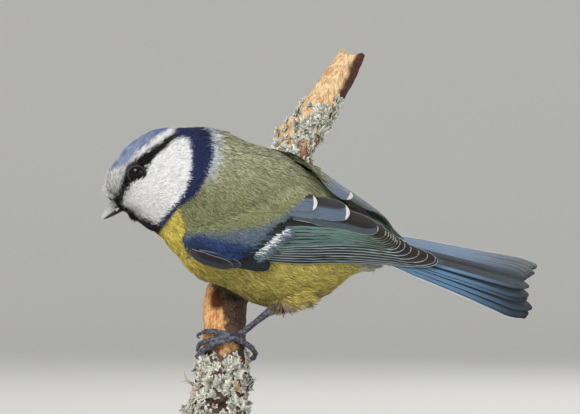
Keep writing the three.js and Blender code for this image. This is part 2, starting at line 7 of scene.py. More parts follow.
import json
import logging
import math
from dataclasses import dataclass, field, replace
from enum import Enum
from typing import Callable, Sequence, Union

import bpy
import numpy as np
from mathutils import Matrix, Vector
from mathutils.bvhtree import BVHTree

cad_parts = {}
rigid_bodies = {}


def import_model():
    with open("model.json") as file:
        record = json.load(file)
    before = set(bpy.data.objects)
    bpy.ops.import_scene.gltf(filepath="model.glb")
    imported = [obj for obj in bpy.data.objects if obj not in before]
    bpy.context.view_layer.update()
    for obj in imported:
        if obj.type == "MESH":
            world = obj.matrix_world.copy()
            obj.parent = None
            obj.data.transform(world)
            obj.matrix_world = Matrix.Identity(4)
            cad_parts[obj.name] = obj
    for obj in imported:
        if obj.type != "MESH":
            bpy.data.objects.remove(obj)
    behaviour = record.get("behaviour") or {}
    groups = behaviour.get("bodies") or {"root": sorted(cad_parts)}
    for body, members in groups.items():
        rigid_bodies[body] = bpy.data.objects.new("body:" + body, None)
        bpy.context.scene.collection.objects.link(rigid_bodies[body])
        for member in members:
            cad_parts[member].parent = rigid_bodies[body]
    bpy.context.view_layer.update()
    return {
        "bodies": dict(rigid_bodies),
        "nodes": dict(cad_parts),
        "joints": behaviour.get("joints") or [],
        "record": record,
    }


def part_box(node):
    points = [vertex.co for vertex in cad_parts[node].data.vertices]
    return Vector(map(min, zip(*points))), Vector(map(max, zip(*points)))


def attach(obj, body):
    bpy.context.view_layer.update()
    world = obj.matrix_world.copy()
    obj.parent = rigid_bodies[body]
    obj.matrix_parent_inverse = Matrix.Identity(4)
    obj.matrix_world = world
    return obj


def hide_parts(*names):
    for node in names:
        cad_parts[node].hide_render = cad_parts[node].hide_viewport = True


LOG = logging.getLogger("blue_tit")
MM = 0.001
BODY = "root"
BAKE_MAP = "OFBake"
VANE_MAP = "Vane"
EDGE_MAP = "Edge"
Array = np.ndarray
Pair = tuple[float, float]
Place = tuple[float, float, float]
Colour = tuple[float, float, float]
Curve = tuple[Pair, ...]
Number = Union["Wire", float]
Piece = bpy.types.Object
Material = bpy.types.Material
Nodes = dict[str, Piece]


class Side(Enum):
    """The two sides of the bird, with the sign of the trunk's angle on each."""

    LEFT = ("left", 1.0)
    RIGHT = ("right", -1.0)

    @property
    def word(self) -> str:
        """The side as it stands in node names."""
        return self.value[0]

    @property
    def sign(self) -> float:
        """Plus one on the side that the camera sees."""
        return self.value[1]


def srgb(red: float, green: float, blue: float) -> Colour:
    """Turns a colour in 0..255 display values into linear light."""
    parts = (value / 255 for value in (red, green, blue))
    return tuple(p / 12.92 if p < 0.04045 else ((p + 0.055) / 1.055) ** 2.4 for p in parts)


def smooth(low: float, high: float, value: Array) -> Array:
    """Rises from 0 to 1 as value goes from low to high, with soft ends."""
    t = np.clip((value - low) / (high - low), 0, 1)
    return t * t * (3 - 2 * t)


def unit(vectors: Array) -> Array:
    """Scales each vector to length one."""
    return vectors / np.maximum(np.linalg.norm(vectors, axis=-1, keepdims=True), 1e-9)


def blend(first: Array, second: Array, share: Array) -> Array:
    """Mixes two sets of colours by a share per point."""
    return first + (np.asarray(second) - first) * share[..., None]


def table(points: Curve, value: Array) -> Array:
    """Reads a curve given by its corner points."""
    return np.interp(value, [p[0] for p in points], [p[1] for p in points])


@dataclass(frozen=True)
class Frame:
    """A rigid frame on the bird: x to the tail on the trunk, to the bill on the head, z to the back."""

    centre: Place
    pitch: float
    roll: float
    yaw: float = 0.0

    @property
    def axes(self) -> Array:
        """The frame's axes as the columns of a matrix."""
        turns = (("Z", self.yaw), ("Y", self.pitch), ("X", self.roll))
        product = np.eye(3)
        for axis, degrees in turns:
            product = product @ np.array(Matrix.Rotation(math.radians(degrees), 3, axis))
        return product

    def local(self, points: Array) -> Array:
        """Points in millimetres of the model, seen in this frame."""
        return (points - np.array(self.centre)) @ self.axes

    def world(self, points: Array) -> Array:
        """Points of this frame, in millimetres of the model."""
        return np.asarray(points, float) @ self.axes.T + np.array(self.centre)

    def way(self, x: float, y: float, z: float) -> Array:
        """A direction of this frame, in the model."""
        return self.axes @ np.array([x, y, z], float)


TRUNK = Frame((0.0, 0.0, 79.5), 12, 33)
HEAD = Frame((-25.6, 0.0, 91.4), 40, -8, 186)
MODEL = Frame((0.0, 0.0, 0.0), 0, 0)
BILL_LINE = 1.6


class Wire:
    """One output of a material's node graph, with arithmetic that adds its nodes."""

    def __init__(self, paint: "Paint", socket: bpy.types.NodeSocket) -> None:
        """Wraps a socket of that paint's graph."""
        self.paint = paint
        self.socket = socket

    def _maths(self, how: str, *others: Number, swap: bool = False) -> "Wire":
        """Adds a Math node.

        Args:
            how: the node's operation.
            others: what follows this wire in it.
            swap: whether this wire comes last instead.

        Returns:
            A wire on the result.
        """
        values = [self, *others]
        if swap:
            values.reverse()
        return self.paint.node("ShaderNodeMath", {"operation": how}, dict(enumerate(values)))

    def __add__(self, other: Number) -> "Wire":
        """The sum."""
        return self._maths("ADD", other)

    def __sub__(self, other: Number) -> "Wire":
        """The difference."""
        return self._maths("SUBTRACT", other)

    def __rsub__(self, other: float) -> "Wire":
        """A number less this wire."""
        return self._maths("SUBTRACT", other, swap=True)

    def __mul__(self, other: Number) -> "Wire":
        """The product."""
        return self._maths("MULTIPLY", other)

    def __truediv__(self, other: Number) -> "Wire":
        """The quotient."""
        return self._maths("DIVIDE", other)

    __radd__ = __add__
    __rmul__ = __mul__

    def size(self) -> "Wire":
        """The value without its sign."""
        return self._maths("ABSOLUTE")

    def sine(self) -> "Wire":
        """The sine of the value."""
        return self._maths("SINE")

    def rise(self, low: Number, high: Number) -> "Wire":
        """Goes softly from 0 to 1 as the value goes from low to high."""
        settings = {"interpolation_type": "SMOOTHSTEP"}
        return self.paint.node("ShaderNodeMapRange", settings, {0: self, 1: low, 2: high})


class Paint:
    """A material whose graph is written as expressions."""

    def __init__(self, name: str, **constants: float) -> None:
        """Starts a material.

        Args:
            name: the material's name.
            constants: values of the shader that are the same all over, underscores for spaces.
        """
        self.material = bpy.data.materials.new(name)
        self.material.use_nodes = True
        self.tree = self.material.node_tree
        self.shader = self.tree.nodes["Principled BSDF"]
        for key, value in constants.items():
            self.shader.inputs[key.replace("_", " ")].default_value = value

    def node(self, kind: str, settings: dict[str, object] | None = None,
             inputs: dict[int | str, object] | None = None, output: int | str = 0) -> Wire:
        """Adds a node.

        Args:
            kind: the node's type.
            settings: its properties, which are set first.
            inputs: values or wires of its sockets, by name or place.
            output: the socket that the wire stands for.

        Returns:
            A wire on that output.
        """
        made = self.tree.nodes.new(kind)
        for key, value in (settings or {}).items():
            setattr(made, key, value)
        for key, value in (inputs or {}).items():
            if isinstance(value, Wire):
                self.tree.links.new(value.socket, made.inputs[key])
            else:
                socket = made.inputs[key]
                socket.default_value = (*value, 1.0) if _wants_alpha(socket, value) else value
        return Wire(self, made.outputs[output])

    def places(self, scale: float = 1000.0) -> Wire:
        """The surface's place on the object, in millimetres by default."""
        coordinates = self.node("ShaderNodeTexCoord", output="Object")
        return self.vector("SCALE", {0: coordinates, "Scale": scale})

    def vector(self, how: str, inputs: dict[int | str, object], output: int | str = 0) -> Wire:
        """Adds a Vector Math node with that operation."""
        return self.node("ShaderNodeVectorMath", {"operation": how}, inputs, output)

    def parts(self, vector: Wire) -> tuple[Wire, Wire, Wire]:
        """Splits a vector into its three values."""
        split = self.node("ShaderNodeSeparateXYZ", inputs={0: vector}).socket.node
        return tuple(Wire(self, socket) for socket in split.outputs)

    def noise(self, where: Wire, scale: float, detail: float = 3.0, rough: float = 0.55) -> Wire:
        """Soft noise from 0 to 1 with that many waves per unit."""
        values = {"Vector": where, "Scale": scale, "Detail": detail, "Roughness": rough}
        return self.node("ShaderNodeTexNoise", inputs=values)

    def cells(self, where: Wire, scale: float) -> Wire:
        """The distance to the middle of the nearest cell."""
        return self.node("ShaderNodeTexVoronoi", inputs={"Vector": where, "Scale": scale})

    def stretch(self, where: Wire, x: float, y: float, z: float) -> Wire:
        """Scales a vector along each axis."""
        return self.vector("MULTIPLY", {0: where, 1: (x, y, z)})

    def attribute(self, name: str, output: str = "Color") -> Wire:
        """A colour that the mesh carries."""
        return self.node("ShaderNodeAttribute", {"attribute_name": name}, output=output)

    def mix(self, first: object, second: object, share: Number) -> Wire:
        """Blends two colours."""
        settings = {"data_type": "RGBA", "clamp_factor": True}
        return self.node("ShaderNodeMix", settings, {0: share, 6: first, 7: second}, output=2)

    def shade(self, colour: Wire, value: Wire) -> Wire:
        """Makes a colour lighter or darker by a value round one."""
        return self.vector("SCALE", {0: colour, "Scale": value})

    def finish(self, colour: Wire | None = None, roughness: Wire | None = None,
               height: Wire | None = None, depth: float = 0.0001) -> Material:
        """Joins the graph to the shader.

        Args:
            colour: the base colour.
            roughness: the roughness, where it varies.
            height: a height from 0 to 1 for the bump.
            depth: that height in metres.

        Returns:
            The material.
        """
        for name, wire in (("Base Color", colour), ("Roughness", roughness)):
            if wire is not None:
                self.tree.links.new(wire.socket, self.shader.inputs[name])
        if height is not None:
            bump = self.node("ShaderNodeBump", inputs={"Height": height, "Distance": depth})
            self.tree.links.new(bump.socket, self.shader.inputs["Normal"])
        return self.material


def many(colour: Sequence[float], count: int) -> Array:
    """One colour for each of that many points."""
    return np.tile(np.array(colour), (count, 1))


def _wants_alpha(socket: bpy.types.NodeSocket, value: object) -> bool:
    """Whether a three-part value goes into a four-part socket."""
    return socket.type == "RGBA" and len(value) == 3


@dataclass
class Batch:
    """Many small forms gathered into one mesh from arrays."""

    points: list[Array] = field(default_factory=list)
    faces: list[Array] = field(default_factory=list)
    maps: dict[str, list[Array]] = field(default_factory=dict)
    colours: dict[str, list[Array]] = field(default_factory=dict)
    count: int = 0

    def add(self, points: Array, faces: Array, maps: dict[str, Array],
            colours: dict[str, Array]) -> None:
        """Adds forms.

        Args:
            points: places, (n, 3).
            faces: triangles as indices into points, (m, 3).
            maps: a place on each UV map for each point, (n, 2).
            colours: a linear colour for each point, (n, 3).
        """
        self.points.append(points)
        self.faces.append(faces + self.count)
        for store, given in ((self.maps, maps), (self.colours, colours)):
            for key, value in given.items():
                store.setdefault(key, []).append(value)
        self.count += len(points)

    def build(self, name: str, material: Material) -> Piece:
        """Makes the mesh object.

        Args:
            name: the piece's name.
            material: its only material.

        Returns:
            The object, at the origin.
        """
        points = np.concatenate(self.points).astype(np.float32) * MM
        faces = np.concatenate(self.faces).astype(np.int32)
        mesh = bpy.data.meshes.new(name)
        mesh.vertices.add(len(points))
        mesh.vertices.foreach_set("co", points.ravel())
        mesh.loops.add(faces.size)
        mesh.loops.foreach_set("vertex_index", faces.ravel())
        mesh.polygons.add(len(faces))
        mesh.polygons.foreach_set("loop_start", np.arange(0, faces.size, 3, dtype=np.int32))
        for key, value in self.maps.items():
            places = np.concatenate(value).astype(np.float32)[faces.ravel()]
            mesh.uv_layers.new(name=key).data.foreach_set("uv", places.ravel())
        for key, value in self.colours.items():
            colour_points(mesh, key, np.concatenate(value))
        mesh.update(calc_edges=True)
        mesh.polygons.foreach_set("use_smooth", np.ones(len(faces), bool))
        mesh.materials.append(material)
        piece = bpy.data.objects.new(name, mesh)
        bpy.context.scene.collection.objects.link(piece)
        return piece


class Bench:
    """Modelling steps on the selected object, as by hand."""

    DOUBLE = 1e-6

    @staticmethod
    def clear() -> None:
        """Deselects everything."""
        bpy.ops.object.select_all(action="DESELECT")

    @classmethod
    def pick(cls, piece: Piece) -> None:
        """Selects one object and makes it active.

        Args:
            piece: the object.
        """
        cls.clear()
        piece.select_set(True)
        bpy.context.view_layer.objects.active = piece

    @classmethod
    def settle(cls, piece: Piece) -> Piece:
        """Moves the object's place into its mesh.

        Args:
            piece: the object.

        Returns:
            The same object, at the origin.
        """
        cls.pick(piece)
        bpy.ops.object.transform_apply(location=True, rotation=True, scale=True)
        return piece

    @classmethod
    def modify(cls, piece: Piece, kind: str, **settings: object) -> None:
        """Adds a modifier and applies it.

        Args:
            piece: the object.
            kind: the modifier's type.
            settings: its properties.
        """
        cls.pick(piece)
        modifier = piece.modifiers.new(kind.lower(), kind)
        for key, value in settings.items():
            setattr(modifier, key, value)
        bpy.ops.object.modifier_apply(modifier=modifier.name)

    @classmethod
    def copy_nodes(cls, name: str, nodes: Sequence[Piece]) -> Piece:
        """Copies fixed nodes into one merged mesh.

        Args:
            name: the new object's name.
            nodes: the nodes, which stay as they are.

        Returns:
            The new object.
        """
        copies = []
        for node in nodes:
            twin = bpy.data.objects.new(name, node.data.copy())
            twin.data.materials.clear()
            bpy.context.scene.collection.objects.link(twin)
            copies.append(twin)
        piece = copies[0]
        if len(copies) > 1:
            cls.join(piece, copies[1:])
        cls.pick(piece)
        bpy.ops.object.mode_set(mode="EDIT")
        bpy.ops.mesh.select_all(action="SELECT")
        bpy.ops.mesh.remove_doubles(threshold=cls.DOUBLE)
        bpy.ops.mesh.normals_make_consistent(inside=False)
        bpy.ops.object.mode_set(mode="OBJECT")
        if piece.data.has_custom_normals:
            bpy.ops.mesh.customdata_custom_splitnormals_clear()
        piece.name = name
        return piece

    @classmethod
    def ellipsoid(cls, frame: Frame, centre: Sequence[float], half: Sequence[float]) -> Piece:
        """Adds a round form that lies along a frame.

        Args:
            frame: the frame.
            centre: its middle in that frame,.
            half: its half sizes along the frame's axes.

        Returns:
            The form's object.
        """
        cls.clear()
        bpy.ops.mesh.primitive_uv_sphere_add(segments=32, ring_count=20, radius=1.0)
        form = bpy.context.object
        form.scale = [value * MM for value in half]
        form.rotation_mode = "QUATERNION"
        form.rotation_quaternion = Matrix(frame.axes.tolist()).to_quaternion()
        form.location = Vector((frame.world(centre) * MM).tolist())
        return cls.settle(form)

    @classmethod
    def join(cls, piece: Piece, others: Sequence[Piece]) -> None:
        """Joins other forms into a piece.

        Args:
            piece: the object that stays.
            others: the objects that it takes in.
        """
        cls.pick(piece)
        for other in others:
            other.select_set(True)
        bpy.ops.object.join()

    @classmethod
    def remesh(cls, piece: Piece, voxel: float, swell: float, smoothing: int) -> None:
        """Turns a faceted solid into a fine even one of the same size.

        Args:
            piece: the object.
            voxel: the grid's step.
            swell: how far the surface moves out first, and back afterwards,.
            smoothing: the rounds of smoothing.
        """
        if swell:
            cls.modify(piece, "DISPLACE", strength=swell * MM, mid_level=0.0)
        cls.modify(piece, "REMESH", mode="VOXEL", voxel_size=voxel * MM, adaptivity=0.0)
        if smoothing:
            cls.modify(piece, "SMOOTH", factor=0.5, iterations=smoothing)
        if swell:
            cls.modify(piece, "DISPLACE", strength=-swell * MM, mid_level=0.0)
        for polygon in piece.data.polygons:
            polygon.use_smooth = True

    @staticmethod
    def choose(piece: Piece, kind: str, wanted: Callable[[object], bool]) -> None:
        """Goes into edit mode with only some faces or edges of the active object selected.

        Args:
            piece: the active object.
            kind: FACE or EDGE.
            wanted: tells of a face or an edge whether it is selected.
        """
        bpy.ops.object.mode_set(mode="EDIT")
        bpy.ops.mesh.select_mode(type=kind)
        bpy.ops.mesh.select_all(action="DESELECT")
        bpy.ops.object.mode_set(mode="OBJECT")
        for part in piece.data.polygons if kind == "FACE" else piece.data.edges:
            part.select = wanted(part)
        bpy.ops.object.mode_set(mode="EDIT")

    @staticmethod
    def dress(piece: Piece, material: Material) -> None:
        """Gives the object its only material."""
        piece.data.materials.clear()
        piece.data.materials.append(material)


def read(items: Sequence[object], name: str, width: int, kind: type = np.float32) -> Array:
    """Reads one property of a mesh's points, loops or triangles.

    Args:
        items: the points, loops or triangles.
        name: the property.
        width: how many values it has.
        kind: their type.

    Returns:
        A row of values for each.
    """
    values = np.zeros(len(items) * width, kind)
    items.foreach_get(name, values)
    return values.reshape(-1, width)


def mesh_points(mesh: bpy.types.Mesh) -> Array:
    """The places of a mesh's points."""
    return read(mesh.vertices, "co", 3).astype(float) / MM


def colour_points(mesh: bpy.types.Mesh, name: str, colours: Array) -> None:
    """Gives each point of a mesh a colour.

    Args:
        mesh: the mesh.
        name: the attribute's name, by which a finish reads it.
        colours: linear colours, (n, 3).
    """
    layer = mesh.color_attributes.new(name, "FLOAT_COLOR", "POINT")
    values = np.concatenate([colours, np.ones((len(colours), 1))], axis=1).astype(np.float32)
    layer.data.foreach_set("color", values.ravel())


def tree_of(piece: Piece) -> BVHTree:
    """A search tree on an object's mesh."""
    mesh = piece.data
    return BVHTree.FromPolygons([v.co for v in mesh.vertices], [p.vertices for p in mesh.polygons])


def inside(place: Array, outline: Curve, soft: float = 0.25) -> Array:
    """How far places lie inside a closed outline.

    Args:
        place: places on a plane, (n, 2).
        outline: the outline's corners.
        soft: half the width of its soft edge.

    Returns:
        0 outside and 1 inside.
    """
    tiny = 1e-9
    corners = np.array(outline, float)
    within = np.zeros(len(place), bool)
    nearest = np.full(len(place), 1 / tiny)
    for start, end in zip(corners, np.roll(corners, -1, axis=0)):
        edge = end - start
        away = place - start
        share = np.clip(away @ edge / max(edge @ edge, tiny), 0, 1)
        nearest = np.minimum(nearest, np.linalg.norm(away - share[:, None] * edge, axis=1))
        rise = edge[1] if abs(edge[1]) > tiny else tiny
        crosses = (start[1] > place[:, 1]) != (end[1] > place[:, 1])
        within ^= crosses & (away[:, 0] < away[:, 1] / rise * edge[0])
    return smooth(-soft, soft, np.where(within, nearest, -nearest))


def profile(frame: Frame, points: Array, near: float) -> Array:
    """Places as seen from the bird's left, the right side folded over onto it.

    Args:
        frame: the frame whose middle plane is the mirror.
        points: places.
        near: the sign of the frame's y on the left.

    Returns:
        The model's X and Z of each place, (n, 2).
    """
    local = frame.local(points)
    local[:, 1] = near * np.abs(local[:, 1])
    return frame.world(local)[:, [0, 2]]


@dataclass(frozen=True)
class Plumage:
    """The markings of the small feathers: colours, and outlines on the bird's profile."""

    white: Colour = srgb(236, 236, 236)
    cap: Colour = srgb(84, 110, 168)
    cap_pale: Colour = srgb(176, 190, 214)
    navy: Colour = srgb(38, 46, 84)
    black: Colour = srgb(16, 15, 19)
    nape: Colour = srgb(196, 202, 208)
    green: Colour = srgb(166, 168, 136)
    green_shaded: Colour = srgb(124, 128, 92)
    yellow: Colour = srgb(222, 202, 92)
    yellow_low: Colour = srgb(186, 172, 92)
    olive: Colour = srgb(140, 122, 60)
    vent: Colour = srgb(200, 190, 154)
    leg: Colour = srgb(128, 112, 92)
    rump: Colour = srgb(118, 138, 140)
    wing_deep: Colour = srgb(44, 62, 104)
    wing_blue: Colour = srgb(84, 102, 124)
    wing_white: Colour = srgb(228, 230, 230)
    HEAD_EDGE = ((-14.5, 122.9), (-13.8, 104.9), (-11.6, 103.1), (-11, 99.7), (-10.9, 96.4), (-12, 92.8),
                 (-13.4, 89.6), (-15.2, 86.8), (-17.6, 85.2), (-19.7, 83.6), (-22.5, 80.7), (-24.5, 78.3),
                 (-26.1, 76.1), (-27.6, 73.9), (-51.3, 72.9), (-51.3, 122.9))
    STRIPE_LOW = ((-34.8, 85.2), (-33.8, 87.2), (-32.4, 89.6), (-31.3, 90.8), (-29.3, 92.4), (-27.9, 94.6),
                  (-25.7, 97.2), (-22.5, 99.9))
    STRIPE_TOP = ((-36.8, 86.3), (-35.8, 87.2), (-34.8, 88.4), (-34.2, 90.8), (-33.7, 93.4), (-33, 94.6),
                  (-31.3, 95.8), (-28.9, 97.7), (-26.1, 99.7), (-23.3, 101.7), (-21.3, 102.9))
    STRIPE = (*STRIPE_TOP, (-20.3, 102.1), *STRIPE_LOW[::-1], (-35.8, 84.7), (-37.4, 86.1))
    CHEEK = (*STRIPE_LOW, (-20.9, 101.3), (-19.3, 101.9), (-17.6, 101.7), (-16.8, 100.1), (-16.6, 98.1),
             (-16.5, 93.6), (-17, 91.2), (-17.6, 88.8), (-19.3, 86.4), (-21.3, 84.4), (-23.3, 82.3),
             (-24.9, 80.7), (-25.7, 79.9), (-27.3, 81.1), (-29.7, 81.9), (-32.1, 83.6))
    BROW = ((-37.4, 86.6), (-39.2, 88.7), (-42, 92.2), (-38.6, 92.2), (-37.6, 93.1), (-34.9, 94.2),
            (-33.4, 95), (-31.2, 97.5), (-28.1, 100.2), (-25.8, 102.1), (-23.1, 103.8), (-21.4, 104.7),
            (-20.9, 104.2), *STRIPE_TOP[::-1])
    CAP = ((-38.6, 92.2), (-37.6, 93), (-34.9, 94), (-33.4, 94.8), (-31.2, 97.3), (-28.1, 100),
           (-25.8, 101.9), (-23.1, 103.6), (-21.4, 104.6), (-20.8, 107.1), (-20.8, 112.4), (-43.4, 112.4),
           (-43.4, 92.2))
    BIB = ((-34.8, 85.2), *CHEEK[:-5:-1], (-25, 80.3), (-24.2, 78.4), (-25.8, 75.5), (-30.3, 75.5),
           (-37.5, 80))
    BREAST = ((-21.8, 81.3), (-19.3, 84.4), (-18.4, 80), (-17.4, 77.6), (-18.2, 74.7), (-17.6, 71.6),
              (-10.5, 69.7), (3.9, 70.8), (17.1, 72.9), (27.6, 74.2), (38.2, 70.8), (43.4, 51.8),
              (-35.5, 51.8), (-35.5, 81.3))
    VENT = ((27.7, 69.6), (38.2, 69.7), (41.3, 62), (35, 62), (28.9, 60.5), (25, 58), (19.7, 56),
            (11.8, 55), (9, 55), (9, 57.6), (13.2, 58.6), (17.8, 60), (22.1, 62.4), (26.2, 65.5))
    LEG = ((3, 54), (3, 58.4), (6, 58.9), (9.5, 58.6), (10.5, 54))
    WING_BLUE = ((-19.7, 77.1), (-14.5, 77.6), (-8.7, 77.6), (-3.9, 78.4), (1.8, 79.2), (6.6, 81.6),
                 (10.8, 84.2), (14.5, 82.9), (11.8, 77.6), (1.8, 69.2), (-19.7, 66))
    WING_DEEP = ((-19.7, 75.5), (-15.5, 76.9), (-10.8, 76), (-5.3, 75.3), (-0.8, 74.2), (0.4, 66),
                 (-19.7, 66))
    BAR = ((-0.6, 71.7), (0.3, 70.9), (4.6, 74.4), (9.1, 78.2), (8.0, 79.1), (3.9, 75.8))

    def on_head(self, points: Array) -> Array:
        """How far places belong to the head, which ends at the collar's outer edge."""
        return inside(profile(HEAD, points, 1.0), self.HEAD_EDGE)

    def _head(self, place: Array, chance: Array) -> Array:
        """Colours on the head's profile, with a few pale feathers in the cap.

        Args:
            place: places on the profile, (n, 2).
            chance: a random value for each.

        Returns:
            Linear colours, (n, 3).
        """
        colour = many(self.navy, len(place))
        front = smooth(-22.0, -33.0, place[:, 0])
        cap = blend(many(self.cap, len(place)), self.cap_pale, 0.5 * front)
        cap = blend(cap, self.white, smooth(0.12, 0.6, chance) * 0.8)
        colour = blend(colour, cap, inside(place, self.CAP))
        colour = blend(colour, self.white, inside(place, self.BROW))
        colour = blend(colour, self.black, inside(place, self.BIB))
        colour = blend(colour, self.black, inside(place, self.STRIPE))
        return blend(colour, self.white, inside(place, self.CHEEK, 0.15))

    def _body(self, place: Array, from_head: Array) -> Array:
        """Colours on the trunk's profile.

        Args:
            place: places on the profile, (n, 2).
            from_head: how far away the head's edge is.

        Returns:
            Linear colours, (n, 3).
        """
        # painted light and shade: the mantle is painted lighter towards the top and darker lower down, as
        # light falls from above
        high = smooth(84.0, 98.0, place[:, 1])[:, None]
        colour = np.array(self.green_shaded) * (1 - high) + np.array(self.green) * high
        nape = smooth(3.8, 0.6, from_head) * smooth(88.0, 95.0, place[:, 1])
        colour = blend(colour, self.nape, nape)
        front = smooth(-6.0, -20.0, place[:, 0]) * smooth(62.0, 72.0, place[:, 1])
        yellow = blend(many(self.yellow_low, len(place)), self.yellow, front)
        yellow = blend(yellow, self.olive, smooth(64.0, 58.5, place[:, 1]) * 0.6)
        colour = blend(colour, yellow, inside(place, self.BREAST, 0.6))
        colour = blend(colour, self.vent, inside(place, self.VENT, 1.4))
        return blend(colour, self.leg, inside(place, self.LEG, 0.8))

    def colour(self, points: Array, jitter: Array) -> Array:
        """The colour of the coat at each place.

        Args:
            points: places, (n, 3).
            jitter: how far each place strays on the profile, (n, 2).

        Returns:
            Linear colours, (n, 3).
        """
        face = profile(HEAD, points, 1.0) + jitter
        share = inside(face, self.HEAD_EDGE, 0.35)
        spots = np.array(self.HEAD_EDGE[1:-3])
        from_head = np.sqrt(((face[:, None] - spots) ** 2).sum(axis=2)).min(axis=1)
        body = self._body(profile(TRUNK, points, -1.0) + jitter, from_head)
        x, _, z = TRUNK.local(points).T
        rump = smooth(24, 34, x) * smooth(-3.0, 2.0, z)
        return blend(blend(body, self.rump, rump), self._head(face, jitter[:, 0]), share)

    def wing(self, points: Array, jitter: Array) -> Array:
        """The colour of the small feathers over the wing's front.

        Args:
            points: places, (n, 3).
            jitter: how far each place strays on the profile, (n, 2).

        Returns:
            Linear colours, (n, 3).
        """
        place = profile(TRUNK, points, -1.0) + jitter
        colour = many(self.green, len(place))
        # painted shade: the wing's front is painted darker lower down
        colour = blend(colour, self.green_shaded, smooth(94.0, 83.0, place[:, 1]))
        colour = blend(colour, self.wing_blue, inside(place, self.WING_BLUE, 1.3) * 0.85)
        colour = blend(colour, self.wing_deep, inside(place, self.WING_DEEP, 1.1))
        return blend(colour, self.wing_white, inside(place, self.BAR, 0.3))


@dataclass(frozen=True)
class CoatFinish:
    """Feathers that carry their colour in the mesh."""

    attribute: str = "plumage"
    roughness: float = 0.62
    fuzz: float = 0.05
    gloss: float = 0.18
    mottle: float = 0.36

    def material(self, name: str, bump: bool = False) -> Material:
        """A soft, nearly matt finish.

        Args:
            name: the material's name.
            bump: whether fine noise stands in for tufts, as on the skin.

        Returns:
            The material.
        """
        paint = Paint(name, Roughness=self.roughness, Sheen_Weight=self.fuzz, Sheen_Roughness=0.5,
                      Specular_IOR_Level=self.gloss)
        places = paint.places()
        grain = paint.noise(places, 1.4, 4.0) * self.mottle + (1 - self.mottle / 2)
        colour = paint.shade(paint.attribute(self.attribute), grain)
        return paint.finish(colour, height=paint.noise(places, 6.0) if bump else None)


@dataclass(frozen=True)
class VaneFinish:
    """Flight feathers: a dark inner web, an outer band, a pale fringe, a shaft, a tip and fine barbs."""

    barbs: float = 5.0
    streaks: float = 0.6
    shaft_half: float = 0.09
    shaft: Colour = srgb(24, 22, 24)
    wave: float = 6.28
    roughness: float = 0.42
    barb_depth: float = 0.00004

    def material(self, name: str) -> Material:
        """The finish, read from the vane's own maps in millimetres and the colours it carries.

        Args:
            name: the material's name.

        Returns:
            The material.
        """
        paint = Paint(name, Specular_IOR_Level=0.22)
        where = paint.node("ShaderNodeUVMap", {"uv_map": VANE_MAP})
        off, along, _ = paint.parts(where)
        edge, to_tip, _ = paint.parts(paint.node("ShaderNodeUVMap", {"uv_map": EDGE_MAP}))
        fringe_width, tip_length, band_width = paint.parts(paint.attribute("sizes", "Vector"))
        ragged = paint.noise(paint.stretch(where, 5.0, 0.6, 1.0), 1.0, 2.0) - 0.5
        streak = paint.noise(paint.stretch(where, 9.0, 0.35, 1.0), 1.0, 3.0)
        band = 1 - (edge + ragged * 0.2).rise(band_width * 0.8, band_width * 1.05)
        web = paint.mix(paint.attribute("inner"), paint.attribute("web"), band)
        inner_edge = edge + off * 2
        fringe = 1 - edge.rise(fringe_width * 0.6, fringe_width) * inner_edge.rise(0.06, 0.12)
        web = paint.mix(web, paint.attribute("fringe"), fringe)
        shaft = 1 - off.size().rise(self.shaft_half * 0.5, self.shaft_half)
        web = paint.mix(web, self.shaft, shaft * 0.7)
        tip = 1 - (to_tip + ragged * 0.5 - off.size() * 0.12).rise(tip_length * 0.8, tip_length)
        web = paint.mix(web, paint.attribute("tip"), tip)
        barb = ((along * 1.2 + off.size()) * self.barbs * self.wave).sine() * 0.5 + 0.5
        shade = barb * 0.14 + streak * self.streaks + (0.93 - self.streaks / 2)
        return paint.finish(paint.shade(web, shade), streak * 0.2 + (self.roughness - 0.1), barb,
                            self.barb_depth)


